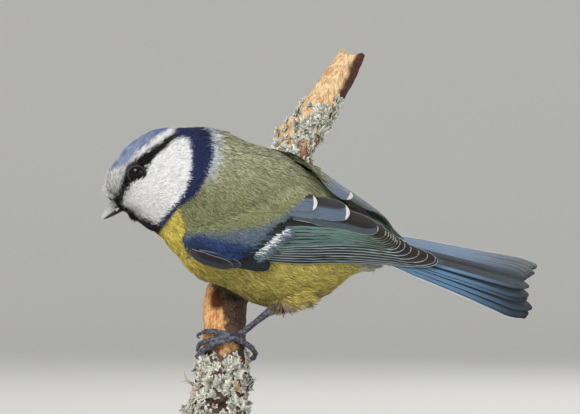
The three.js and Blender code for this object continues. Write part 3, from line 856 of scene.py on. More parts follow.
@dataclass(frozen=True)
class Finishes:
    """The hard finishes: horn, eye, legs, wood, lichen, steel."""

    knot: Place = (-10.2, 8.0, 61.5)

    def bill(self) -> Material:
        """Blue-grey horn, darker at the base and pale towards the tip and cutting edge."""
        paint = Paint("horn_bill", Specular_IOR_Level=0.6)
        places = paint.places()
        streak = paint.noise(paint.stretch(places, 1.2, 2.5, 1.2), 1.4, 4.0)
        x, _, z = paint.parts(places)
        down = (x + z * 0.8 + (streak - 0.5) * 2.0).rise(33.8, 26.5)
        colour = paint.mix(srgb(58, 60, 66), srgb(172, 173, 174), down)
        return paint.finish(colour, streak * 0.2 + 0.2, streak, 0.00004)

    def lower_bill(self) -> Material:
        """Nearly black horn."""
        paint = Paint("horn_lower", Specular_IOR_Level=0.5)
        streak = paint.noise(paint.places(), 2.0)
        return paint.finish(paint.mix(srgb(14, 14, 17), srgb(38, 39, 44), streak), streak * 0.2 + 0.28)

    def claw(self) -> Material:
        """Dark streaky horn."""
        paint = Paint("horn_claw", Specular_IOR_Level=0.5)
        streak = paint.noise(paint.places(), 2.4)
        return paint.finish(paint.mix(srgb(38, 35, 34), srgb(84, 78, 72), streak), streak * 0.2 + 0.3)

    def eye(self, centre: Array, way: Array, radius: float) -> Material:
        """A wet, nearly black eye with a dark brown iris.

        Args:
            centre: the ball's middle,.
            way: the direction that the eye looks.
            radius: the ball's radius.

        Returns:
            The material.
        """
        paint = Paint(f"eye_wet_{'left' if way[1] < 0 else 'right'}", Roughness=0.04,
                      Specular_IOR_Level=0.2)
        away = paint.vector("SUBTRACT", {0: paint.places(), 1: tuple(centre)})
        ahead = paint.vector("DOT_PRODUCT", {0: away, 1: tuple(way)}, "Value")
        fleck = paint.noise(paint.places(), 3.0)
        brown = paint.mix(srgb(12, 8, 7), srgb(26, 16, 12), fleck)
        return paint.finish(paint.mix(brown, srgb(3, 3, 4), (ahead / radius).rise(0.8, 0.86)))

    def lid(self) -> Material:
        """Fine dark skin with a faint blue cast."""
        paint = Paint("skin_lid", Roughness=0.5)
        grain = paint.noise(paint.places(), 5.0)
        colour = paint.mix(srgb(9, 9, 12), srgb(64, 67, 76), grain.rise(0.4, 0.8))
        return paint.finish(colour, height=grain)

    def leg(self) -> Material:
        """Slate-blue skin in rows of small scutes."""
        paint = Paint("skin_leg", Specular_IOR_Level=0.45)
        places = paint.places()
        scutes = paint.cells(places, 1.15)
        stain = paint.noise(places, 0.8)
        colour = paint.mix(srgb(46, 49, 58), srgb(100, 105, 118), scutes.rise(0.8, 0.1))
        colour = paint.mix(colour, srgb(70, 62, 56), stain.rise(0.55, 0.8) * 0.5)
        return paint.finish(colour, stain * 0.3 + 0.35, 1 - scutes, 0.00022)

    def perch(self) -> Material:
        """Dead wood: dark bark, peeled orange wood and pale broken ends, zoned by height."""
        paint = Paint("wood_branch", Specular_IOR_Level=0.25)
        places = paint.places()
        x, _, z = paint.parts(places)
        grain = paint.noise(paint.stretch(places, 1.1, 1.1, 0.16), 1.4, 6.0, 0.65)
        patch = paint.noise(places, 0.16, 4.0)
        fine = paint.noise(places, 2.2, 5.0, 0.7)
        peeled = paint.mix(srgb(172, 104, 56), srgb(246, 196, 134), grain.rise(0.3, 0.66))
        knot = paint.vector("DISTANCE", {0: places, 1: self.knot}, "Value")
        peeled = paint.mix(peeled, srgb(86, 44, 22), 1 - (knot + patch * 2.0).rise(4.2, 6.2))
        rough = (fine * 0.6 + patch * 0.5).rise(0.4, 0.75)
        bark = paint.mix(srgb(30, 21, 18), srgb(126, 102, 88), rough)
        right = (x + (z - 50.0) * 0.28 + (patch - 0.5) * 16.0).rise(-7.6, -6.4)
        lower = paint.mix(peeled, bark, right)
        lower = paint.mix(lower, bark, (z + (patch - 0.5) * 8.0).rise(47.5, 45.0))
        reddish = paint.mix(srgb(94, 52, 38), srgb(168, 110, 82), fine.rise(0.3, 0.7))
        pale = paint.mix(srgb(176, 124, 82), srgb(240, 212, 164), grain.rise(0.3, 0.62))
        pale = paint.mix(pale, srgb(176, 96, 48), (patch + grain * 0.5).rise(0.78, 0.95))
        pale = paint.mix(pale, srgb(84, 52, 38), (x - z * 0.45 + (patch - 0.5) * 5.0).rise(-30.0, -28.4))
        upper = paint.mix(reddish, pale, (z + (patch - 0.5) * 16.0 - x * 0.6).rise(88.0, 98.0))
        crust = (x + fine * 1.5).rise(-15.6, -16.8) * (1 - z.rise(44.0, 47.0))
        lower = paint.mix(lower, srgb(178, 180, 164), crust)
        colour = paint.mix(lower, upper, z.rise(76.0, 84.0))
        dust = paint.noise(places, 0.7, 5.0, 0.7).rise(0.6, 0.72) * 0.3
        colour = paint.mix(colour, srgb(196, 196, 182), dust)
        return paint.finish(colour, fine * 0.2 + 0.7, grain * 0.6 + fine * 0.5, 0.0006)

    def lichen(self) -> Material:
        """Grey-green lobes with pale rims, from the colour that the lobes carry, which paints shade at
        their roots and partly a highlight on their rims.
        """
        paint = Paint("lichen_lobes", Roughness=0.9, Sheen_Weight=0.15, Specular_IOR_Level=0.15)
        grain = paint.noise(paint.places(), 3.5, 5.0, 0.7)
        return paint.finish(paint.shade(paint.attribute("plumage"), grain * 0.5 + 0.75), height=grain)

    def steel(self) -> Material:
        """Brushed steel, turned round the rod."""
        paint = Paint("steel_rod", Metallic=1.0)
        lines = paint.noise(paint.stretch(paint.places(), 1.0, 1.0, 14.0), 1.0)
        return paint.finish(paint.mix(srgb(150, 150, 152), srgb(206, 206, 208), lines),
                            lines * 0.2 + 0.22, lines, 0.00003)

    def stand(self) -> Material:
        """Dark stained wood with a satin polish."""
        paint = Paint("wood_stand", Coat_Weight=0.25, Coat_Roughness=0.25)
        places = paint.places()
        rings = paint.noise(paint.stretch(places, 0.02, 0.32, 0.32), 1.0, 6.0, 0.6)
        pores = paint.noise(paint.stretch(places, 0.1, 2.2, 2.2), 1.0, 2.0)
        colour = paint.mix(srgb(38, 24, 17), srgb(92, 60, 40), (rings + pores * 0.25).rise(0.38, 0.85))
        return paint.finish(colour, pores * 0.15 + 0.34, pores, 0.00005)

    def floor(self) -> Material:
        """Plain pale ground."""
        paint = Paint("floor_pale", Roughness=0.9, Specular_IOR_Level=0.1)
        cloud = paint.noise(paint.places(1.0), 3.0, 2.0)
        return paint.finish(paint.mix(srgb(222, 221, 217), srgb(226, 225, 221), cloud))


@dataclass(frozen=True)
class Shift:
    """A stretch where the skin leaves the solids, so that the coat over it meets the bird's outline."""

    frame: Frame
    way: Place
    reach: float
    fades: tuple[tuple[str, float, float], ...]

    def moves(self, points: Array) -> Array:
        """Reads the fades along the frame's x or z, or by the distance from the bill's line.

        Args:
            points: places, (n, 3).

        Returns:
            How far each place moves, (n, 3).
        """
        x, y, z = self.frame.local(points).T
        share = np.full(len(points), self.reach)
        for axis, low, high in self.fades:
            along = {"x": x, "z": z, "bill": np.hypot(y, z - BILL_LINE)}[axis]
            share = share * smooth(low, high, along)
        return self.frame.way(*self.way) * share[:, None]


class Skin:
    """The flesh under the coat as one seamless form, and its outer surface before it is drawn in."""

    COAT_DEPTH = 0.5
    VOXEL = 0.45
    SWELL = 0.3
    SMOOTHING = 6
    SHADE = 0.5
    FLESH = ("head", "neck", "torso", "thigh_left", "thigh_right")
    RUMP_CENTRE = (34.0, 0.0, 0.1)
    RUMP_HALF = (15.0, 5.6, 2.7)
    EYE_BED = 2.7
    BILL_DENT = Shift(HEAD, (-1, 0, 0), 1.2, (("bill", 4.6, 2.2), ("x", 7.0, 9.6)))
    CHIN_DENT = Shift(HEAD, (-1, 0, 0), 1.5, (("z", 2.0, -1.5), ("x", 9.0, 12.5)))
    CROWN_FALL = Shift(HEAD, (-0.5, 0, -1), 0.95, (("z", 4.0, 10.0), ("x", -10.0, -2.0), ("x", 10.5, 5.0)))
    VENT_RISE = Shift(TRUNK, (0, 0, 1), 1.5, (("x", 23.0, 30.0), ("x", 48.0, 40.0), ("z", 1.0, -3.0)))
    BREAST_RISE = Shift(MODEL, (0.55, 0, 0.83), 1.7, (("z", 78.0, 71.0), ("x", 4.0, -14.0)))
    AXIS = ((-36, 9), (-26, 8), (-14, 5), (0, 0), (50, -0.4))
    MAP_START = -46
    MAP_LENGTH = 98
    MARGIN = 0.01

    def __init__(self, nodes: Nodes, plumage: Plumage) -> None:
        """Keeps the fixed nodes and the markings.

        Args:
            nodes: the fixed nodes by name.
            plumage: the markings.
        """
        self.nodes = nodes
        self.plumage = plumage

    def build(self, eyes: Sequence[Array]) -> Piece:
        """Models the skin.

        Args:
            eyes: the middle of each eye, which the skin closes round.

        Returns:
            The skin's object, which lies inside the fixed solids by the coat's depth.
        """
        skin = Bench.copy_nodes("skin", [self.nodes[name] for name in self.FLESH])
        forms = [Bench.ellipsoid(TRUNK, self.RUMP_CENTRE, self.RUMP_HALF)]
        for centre in eyes:
            forms.append(Bench.ellipsoid(HEAD, HEAD.local(centre), (self.EYE_BED,) * 3))
        Bench.join(skin, forms)
        Bench.remesh(skin, self.VOXEL, self.SWELL, self.SMOOTHING)
        self.outer = tree_of(skin)
        Bench.modify(skin, "DISPLACE", strength=-self.COAT_DEPTH * MM, mid_level=0.0)
        Bench.modify(skin, "SMOOTH", factor=0.5, iterations=2)
        self.piece = skin
        points = mesh_points(skin.data)
        shifts = (self.BILL_DENT, self.CHIN_DENT, self.CROWN_FALL, self.VENT_RISE, self.BREAST_RISE)
        points = points + sum(shift.moves(points) for shift in shifts)
        skin.data.vertices.foreach_set("co", (points * MM).astype(np.float32).ravel())
        skin.data.update()
        # painted shade: the skin's colour is darkened by SHADE, as it shows only in the shaded gaps between
        # tufts
        colour = self.plumage.colour(points, np.zeros((len(points), 2))) * self.SHADE
        colour_points(skin.data, "plumage", colour)
        Bench.dress(skin, CoatFinish().material("skin_feathered", bump=True))
        loops = read(skin.data.loops, "vertex_index", 1, np.int32).ravel()
        places = self.unwrapped(mesh_points(skin.data))[loops].astype(np.float32)
        skin.data.uv_layers.new(name=BAKE_MAP).data.foreach_set("uv", places.ravel())
        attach(skin, BODY)
        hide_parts(*self.FLESH, "tail")
        return skin

    @classmethod
    def unwrapped(cls, points: Array) -> Array:
        """Unrolls the body round the trunk's length, seam along the belly.

        Args:
            points: places.

        Returns:
            Places on the map, from 0 to 1.
        """
        x, y, z = TRUNK.local(points).T
        turn = np.arctan2(y, z - table(cls.AXIS, x)) / (2 * math.pi) + 0.5
        along = (x - cls.MAP_START) / cls.MAP_LENGTH
        return cls.MARGIN + (1 - 2 * cls.MARGIN) * np.stack([turn, along], axis=1)


@dataclass(frozen=True)
class Tuft:
    """The make of a patch's tufts,."""

    length: Pair
    width: float
    lift: float
    blades: int = 7
    fan: float = 0.16
    sink: float = 0.12
    tone: float = 0.14
    wisp: float = 0.13
    stray: float = 0.22
    # root_shade and tip_shade paint shade at each blade's root and paint it lighter towards its tip
    root_shade: float = 0.5
    tip_shade: float = 1.08
    stations: tuple[float, ...] = (0.0, 0.5, 1.0)


@dataclass(frozen=True)
class CoatPatch:
    """One piece of the coat: where it grows, how many tufts it has and their make."""

    name: str
    grows: Callable[[Array], Array]
    tufts: int
    tuft: Tuft
    slot: str = "plumage_green"


class TuftMaker:
    """Turns roots with their lie into tufts, each a fan of thin tapered blades."""

    SWAY = 0.1
    TWIST = 0.3
    LENGTHS = (0.72, 1.1)
    LIFTS = (0.45, 1.25)
    SPREAD = 0.6
    SLIP = 0.3
    SEEN = 0.62
    PATCH_HALF = (0.0012, 0.0013)
    BLADE_HALF = 0.00018
    MAP_EDGE = 0.0005

    def __init__(self, seed: int) -> None:
        """Starts the random draws."""
        self.random = np.random.default_rng(seed)

    def grow(self, name: str, tuft: Tuft, ground: tuple[Array, Array, Array],
             colours: Callable[[Array, Array], Array], material: Material) -> Piece:
        """Grows one piece.

        Args:
            name: the piece's name.
            tuft: the make of its tufts.
            ground: each root's place, its normal and its lie.
            colours: gives the markings at places that stray.
            material: the coat's finish.

        Returns:
            The piece's object.
        """
        roots, normals, lie = ground
        draw = self.random
        tufts, count = len(roots), tuft.blades
        across = np.cross(normals, lie)
        turn = draw.normal(0, self.SWAY, (tufts, 1))
        fan = np.linspace(-1, 1, count)[None, :] * tuft.fan + draw.normal(0, self.SWAY, (tufts, count))
        angle = (turn + fan)[..., None]
        way = lie[:, None] * np.cos(angle) + across[:, None] * np.sin(angle)
        wide = across[:, None] * np.cos(angle) - lie[:, None] * np.sin(angle)
        wide = unit(wide + normals[:, None] * draw.normal(0, self.TWIST, (tufts, count, 1)))
        length = draw.uniform(*tuft.length, (tufts, 1)) * draw.uniform(*self.LENGTHS, (tufts, count))
        lift = tuft.lift * draw.uniform(*self.LIFTS, (tufts, count))
        start = roots[:, None] + across[:, None] * (fan[..., None] * self.SPREAD)
        start = start + lie[:, None] * draw.uniform(-self.SLIP, self.SLIP, (tufts, count, 1))
        points = []
        for t in tuft.stations:
            rise = lift * math.sin(min(1.0, t * 1.1) * math.pi / 2) - tuft.sink
            centre = start + way * (length * t)[..., None] + normals[:, None] * rise[..., None]
            half = tuft.width / 2 * (0.7 + 0.6 * math.sin(math.pi * min(1.0, t + 0.15)))
            points += [centre] if t == 1.0 else [centre - wide * half, centre + wide * half]
        points = np.stack(points, axis=2)
        seen = (start + way * (length * self.SEEN)[..., None]).reshape(-1, 3)
        stray = draw.normal(0, tuft.stray, (len(seen), 2))
        colour = colours(seen, stray).reshape(tufts, count, 3)
        wisps = draw.normal(1.0, tuft.wisp, (tufts, 1, 1))
        colour = colour * wisps * draw.normal(1.0, tuft.tone, (tufts, count, 1))
        batch = self._batch(tuft, points, np.clip(colour, 0, 1), Skin.unwrapped(roots))
        piece = batch.build(name, material)
        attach(piece, BODY)
        return piece

    @classmethod
    def _batch(cls, tuft: Tuft, points: Array, colour: Array, places: Array) -> Batch:
        """Gathers the blades' faces, colours with painted shade at their roots, and bake places.

        Args:
            tuft: the make of the tufts.
            points: the corners of each blade of each tuft.
            colour: each blade's colour.
            places: each root's place on the skin's map.

        Returns:
            The batch of all blades.
        """
        tufts, count, corners, _ = points.shape
        faces = []
        for step in range(len(tuft.stations) - 2):
            a = 2 * step
            faces += [(a, a + 1, a + 3), (a, a + 3, a + 2)]
        faces.append((corners - 3, corners - 2, corners - 1))
        faces = np.array(faces)[None] + (np.arange(tufts * count) * corners)[:, None, None]
        steps = np.repeat(np.array(tuft.stations), 2)[:corners]
        # painted shade: each blade is darkened towards its root, where the tufts shade one another, and
        # painted lighter at its tip
        fade = tuft.root_shade + (tuft.tip_shade - tuft.root_shade) * steps
        tinted = np.clip(colour[:, :, None] * fade[None, None, :, None], 0, 1)
        spread = np.zeros((1, count, corners, 2))
        wide, long = cls.PATCH_HALF
        spread[..., 0] = np.linspace(-wide, wide, count)[None, :, None]
        spread[..., 0] += np.where(np.arange(corners) % 2, cls.BLADE_HALF, -cls.BLADE_HALF)[None, None, :]
        spread[..., 1] = (steps * 2 * long - long)[None, None, :]
        bake = np.clip(places[:, None, None] + spread, cls.MAP_EDGE, 1 - cls.MAP_EDGE)
        batch = Batch()
        batch.add(points.reshape(-1, 3), faces.reshape(-1, 3), {BAKE_MAP: bake.reshape(-1, 2)},
                  {"plumage": tinted.reshape(-1, 3)})
        return batch


class Coat:
    """The coat over the skin, in patches that meet under one another's tufts."""

    EYE_CLEAR = 2.45
    BILL_ROOT = (9.0, 0.0, BILL_LINE)
    BILL_START = 8.0
    BILL_CLEAR = 2.3
    FALL = (0.55, 0.12)
    UNDER_TAIL = (30.5, 38.0, -1.2)
    THIGHS = (((13.0, -5.6, 62.0), (4.4, -6.4, 57.3)), ((19.5, 9.0, 70.0), (15.0, 17.6, 62.6)))

    def __init__(self, skin: Skin, eyes: Sequence[tuple[Array, Array]]) -> None:
        """Reads the skin's faces.

        Args:
            skin: the finished skin.
            eyes: the middle of each eye and the direction that it looks.
        """
        self.skin = skin
        self.eyes = eyes
        self.maker = TuftMaker(11)
        mesh = skin.piece.data
        mesh.calc_loop_triangles()
        corners = read(mesh.loop_triangles, "vertices", 3, np.int32)
        self.corners = mesh_points(mesh)[corners]
        first = self.corners[:, 0]
        cross = np.cross(self.corners[:, 1] - first, self.corners[:, 2] - first)
        self.area = np.linalg.norm(cross, axis=1) / 2
        self.middle = self.corners.mean(axis=1)
        self.normals = read(mesh.vertices, "normal", 3)[corners]

    def lie(self, points: Array, normals: Array) -> Array:
        """The direction in which feathers lie: back from the bill, down the mantle, along the belly.

        Args:
            points: roots.
            normals: the skin's normals there.

        Returns:
            Unit directions along the skin.
        """
        from_bill = unit(points - HEAD.world(self.BILL_ROOT))
        x, _, z = TRUNK.local(points).T
        fall = self.FALL[0] * smooth(-6, 8, z) * smooth(26, 12, x) + self.FALL[1]
        trunk = TRUNK.way(1, 0, 0) - np.array([0.0, 0.0, 1.0]) * fall[:, None]
        share = smooth(-26, -10, x)[:, None]
        flow = from_bill * (1 - share) + trunk * share
        for knee, heel in self.THIGHS:
            knee, run = np.array(knee), np.array(heel) - np.array(knee)
            t = np.clip((points - knee) @ run / (run @ run), 0, 1)
            off = np.linalg.norm(points - knee - t[:, None] * run, axis=1)
            held = (smooth(3.6, 2.6, off) * smooth(0.5, 0.85, t))[:, None]
            flow = flow * (1 - held) + unit(run) * held
        flow = flow - normals * np.sum(flow * normals, axis=1, keepdims=True)
        return unit(flow)

    def _roots(self, patch: CoatPatch) -> tuple[Array, Array]:
        """Draws the roots of a patch's tufts, clear of the eyes, the bill and the tail's underside.

        Args:
            patch: the patch.

        Returns:
            The roots and the skin's normals there.
        """
        draw = self.maker.random
        chance = self.area * patch.grows(self.middle)
        picks = draw.choice(len(chance), size=patch.tufts, p=chance / chance.sum())
        share = draw.random((patch.tufts, 2))
        over = share.sum(axis=1) > 1
        share[over] = 1 - share[over]
        weights = np.stack([1 - share.sum(axis=1), share[:, 0], share[:, 1]], axis=1)[..., None]
        points = (self.corners[picks] * weights).sum(axis=1)
        normals = unit((self.normals[picks] * weights).sum(axis=1))
        keep = np.ones(len(points), bool)
        for centre, way in self.eyes:
            away = points - centre
            off = np.linalg.norm(away - np.outer(away @ way, way), axis=1)
            keep &= (off > self.EYE_CLEAR) | (away @ way < 0)
        x, _, z = TRUNK.local(points).T
        start, end, height = self.UNDER_TAIL
        keep &= (x < start) | (x > end) | (z > height)
        x, y, z = HEAD.local(points).T
        keep &= (x < self.BILL_START) | (np.hypot(y, z - BILL_LINE) > self.BILL_CLEAR)
        return points[keep], normals[keep]

    def build(self, patch: CoatPatch, material: Material) -> Piece:
        """Grows one patch of the coat.

        Args:
            patch: the patch.
            material: the coat's finish.

        Returns:
            The patch's object.
        """
        roots, normals = self._roots(patch)
        ground = (roots, normals, self.lie(roots, normals))
        piece = self.maker.grow(patch.name, patch.tuft, ground, self.skin.plumage.colour, material)
        return piece


@dataclass(frozen=True)
class Web:
    """The colours of a kind of feather and the widths of its markings."""

    web: Colour
    inner: Colour
    fringe: Colour
    tip: Colour
    fringe_width: float = 0.16
    band_width: float = 0.0
    tip_length: float = 0.0
    end: Colour | None = None


@dataclass(frozen=True)
class Feather:
    """One vane: its line on the wing as (x, angle) pairs, its size and its colours."""

    root: Pair
    bend: Pair
    tip: Pair
    width: float
    lift: Pair
    look: Web
    point: float = 0.8
    across: int = 9
    along: int = 20
    sharp: float = 1.0


class VaneMaker:
    """Turns feathers into thin closed vanes on a surface that is addressed by two numbers."""

    THICK = 0.06
    SHEET = 16
    CROWDING = 1.35
    ROOT_WIDTH = 0.55
    FRAY = 0.02
    RIDGE = 0.1
    MARGIN = 0.05
    TONE = 0.05

    def __init__(self, surface: Callable[[Array, Array, Array], Array], seed: int,
                 metric: Callable[[Array], Array]) -> None:
        """Keeps the surface.

        Args:
            surface: turns the two numbers and a lift into places.
            seed: the start of the random draws.
            metric: the length in millimetres of one step of the second number, by the first.
        """
        self.surface = surface
        self.metric = metric
        self.random = np.random.default_rng(seed)
        self.batch = Batch()
        self.made = 0
        self.slope = 0.1

    def add(self, feather: Feather) -> None:
        """Adds one vane to the batch.

        Args:
            feather: the vane's line, size and look.
        """
        t = 1 - (1 - np.linspace(0, 1, feather.along)) ** self.CROWDING
        root, bend, tip = (np.array(place, float) for place in (feather.root, feather.bend, feather.tip))
        line = ((1 - t) ** 2)[:, None] * root + (2 * t * (1 - t))[:, None] * bend
        line = line + (t * t)[:, None] * tip
        slope = (1 - t)[:, None] * (bend - root) + t[:, None] * (tip - bend)
        scale = self.metric(line[:, 0])
        run = unit(np.stack([slope[:, 0], slope[:, 1] * scale], axis=1))
        steps = np.linalg.norm(np.diff(line * np.stack([np.ones_like(scale), scale], 1), axis=0), axis=1)
        travelled = np.concatenate([[0.0], np.cumsum(steps)])
        narrowing = np.clip((t - feather.point) / (1.002 - feather.point), 0, 1)
        blunt = np.sqrt(np.clip(1 - narrowing ** (2 / feather.sharp), 0, 1))
        half = feather.width / 2 * np.minimum(1, self.ROOT_WIDTH + 1.5 * t) * np.maximum(blunt, 0.03)
        s = np.linspace(-1, 1, feather.across)
        fray = self.random.normal(0, self.FRAY, (feather.along, feather.across)) * (np.abs(s) > 0.9)[None]
        off = half[:, None] * (s[None] + fray)
        first = line[:, :1] - run[:, 1:] * off
        second = line[:, 1:] + run[:, :1] * off / scale[:, None]
        lift = feather.lift[0] + (feather.lift[1] - feather.lift[0]) * t
        lift = lift[:, None] + self.slope * off + self.RIDGE * (1 - np.abs(s[None]))
        top = self.surface(first, second, lift)
        under = self.surface(first, second, lift - self.THICK)
        rows = np.broadcast_to(travelled[:, None], off.shape)
        own = np.stack([np.abs(half)[:, None] * (s[None] + 0 * off), rows], -1).reshape(-1, 2)
        edge = np.abs(half)[:, None] * (1 - s[None] - fray)
        edge = np.stack([edge, travelled[-1] - rows], -1).reshape(-1, 2)
        self._store(feather, (top, under), {VANE_MAP: own, EDGE_MAP: edge}, t)

    def _store(self, feather: Feather, sheets: tuple[Array, Array], maps: dict[str, Array],
               t: Array) -> None:
        """Adds the vane's two faces and its rim.

        Args:
            feather: the vane.
            sheets: the grid of its upper face and that of its lower one.
            maps: each point's place on the maps that the finish reads.
            t: each row's share of the way to the tip.
        """
        top, under = sheets
        rows, columns = feather.along, feather.across
        faces = closed_sheet(rows, columns)
        centre = np.cross(top[1, 0] - top[0, 0], top[0, 1] - top[0, 0])
        if centre @ (top - under).mean(axis=(0, 1)) > 0:
            faces = faces[:, ::-1]
        cell = 1 / self.SHEET
        steps = [np.linspace(self.MARGIN, 1 - self.MARGIN, count) for count in (columns, rows)]
        place = np.stack(np.meshgrid(*steps), -1)
        bake = (place.reshape(-1, 2) + np.array(divmod(self.made, self.SHEET))[::-1]) * cell
        self.made += 1
        shade = self.random.normal(1, self.TONE)
        look = feather.look
        fading = np.repeat(smooth(0.5, 1.0, t), columns)
        count = rows * columns
        inner, web = many(look.inner, count), many(look.web, count)
        if look.end is not None:
            inner, web = blend(inner, look.end, fading), blend(web, look.end, fading)
        sizes = (look.fringe_width, look.tip_length, look.band_width)
        colours = {"web": web * shade, "inner": inner * shade, "fringe": many(look.fringe, count),
                   "tip": many(look.tip, count), "sizes": many(sizes, count)}
        points = np.concatenate([top.reshape(-1, 3), under.reshape(-1, 3)])
        twice = [{key: np.tile(value, (2, 1)) for key, value in given.items()}
                 for given in ({BAKE_MAP: bake, **maps}, colours)]
        self.batch.add(points, faces, *twice)


def closed_sheet(rows: int, columns: int) -> Array:
    """The triangles of a thin closed sheet: an upper grid of points, then the lower one, and a rim.

    Args:
        rows, columns: the grid's size.

    Returns:
        The triangles.
    """
    index = np.arange(rows * columns).reshape(rows, columns)
    squares = (index[:-1, :-1], index[1:, :-1], index[1:, 1:], index[:-1, 1:])
    a, b, c, d = (part.ravel() for part in squares)
    upper = np.concatenate([np.stack([a, b, c], -1), np.stack([a, c, d], -1)])
    rim = np.concatenate([index[:, 0], index[-1, 1:], index[-2::-1, -1], index[0, -2:0:-1]])
    after = np.roll(rim, -1)
    total = rows * columns
    walls = np.concatenate([np.stack([rim, after + total, after], -1),
                            np.stack([rim, rim + total, after + total], -1)])
    return np.concatenate([upper, upper[:, ::-1] + total, walls])


@dataclass(frozen=True)
class WingLooks:
    """The kinds of feather on the wing."""

    far_band: float = 2.4
    primary: Web = Web(srgb(70, 90, 92), srgb(22, 24, 27), srgb(178, 190, 190), srgb(190, 182, 168),
                       0.2, 0.34, 0.18, srgb(38, 32, 30))
    secondary: Web = Web(srgb(88, 118, 114), srgb(15, 17, 19), srgb(128, 150, 126), srgb(204, 202, 190),
                         0.13, 0.66, 0.18, srgb(44, 38, 36))
    tertial: Web = Web(srgb(70, 80, 86), srgb(40, 36, 36), srgb(138, 148, 140), srgb(214, 214, 208),
                       0.16, 1.7, 0.2)
    tertial_tipped: Web = Web(srgb(92, 106, 124), srgb(40, 36, 36), srgb(122, 134, 128),
                              srgb(218, 218, 214), 0.14, 3.5, 1.1)
    covert: Web = Web(srgb(56, 74, 96), srgb(24, 30, 42), srgb(98, 118, 136), srgb(206, 209, 209), 0.12,
                      1.2, 0.9)
    primary_covert: Web = Web(srgb(36, 44, 48), srgb(20, 22, 25), srgb(60, 72, 76), srgb(30, 33, 36),
                              0.14, 1.0, 0.2)
    alula: Web = Web(srgb(54, 55, 62), srgb(30, 29, 33), srgb(124, 124, 126), srgb(104, 102, 104), 0.12,
                     1.2, 0.16)

    def of(self, kind: str, side: Side) -> Web:
        """A kind's look, which on the far wing has more of its outer webs.

        Args:
            kind: the kind, as it is named above.
            side: the wing's side.

        Returns:
            The colours and widths.
        """
        look = getattr(self, kind)
        if side is Side.LEFT:
            return look
        inner = tuple((a + b) / 2 for a, b in zip(look.inner, look.web))
        return replace(look, band_width=look.band_width * self.far_band, inner=inner)


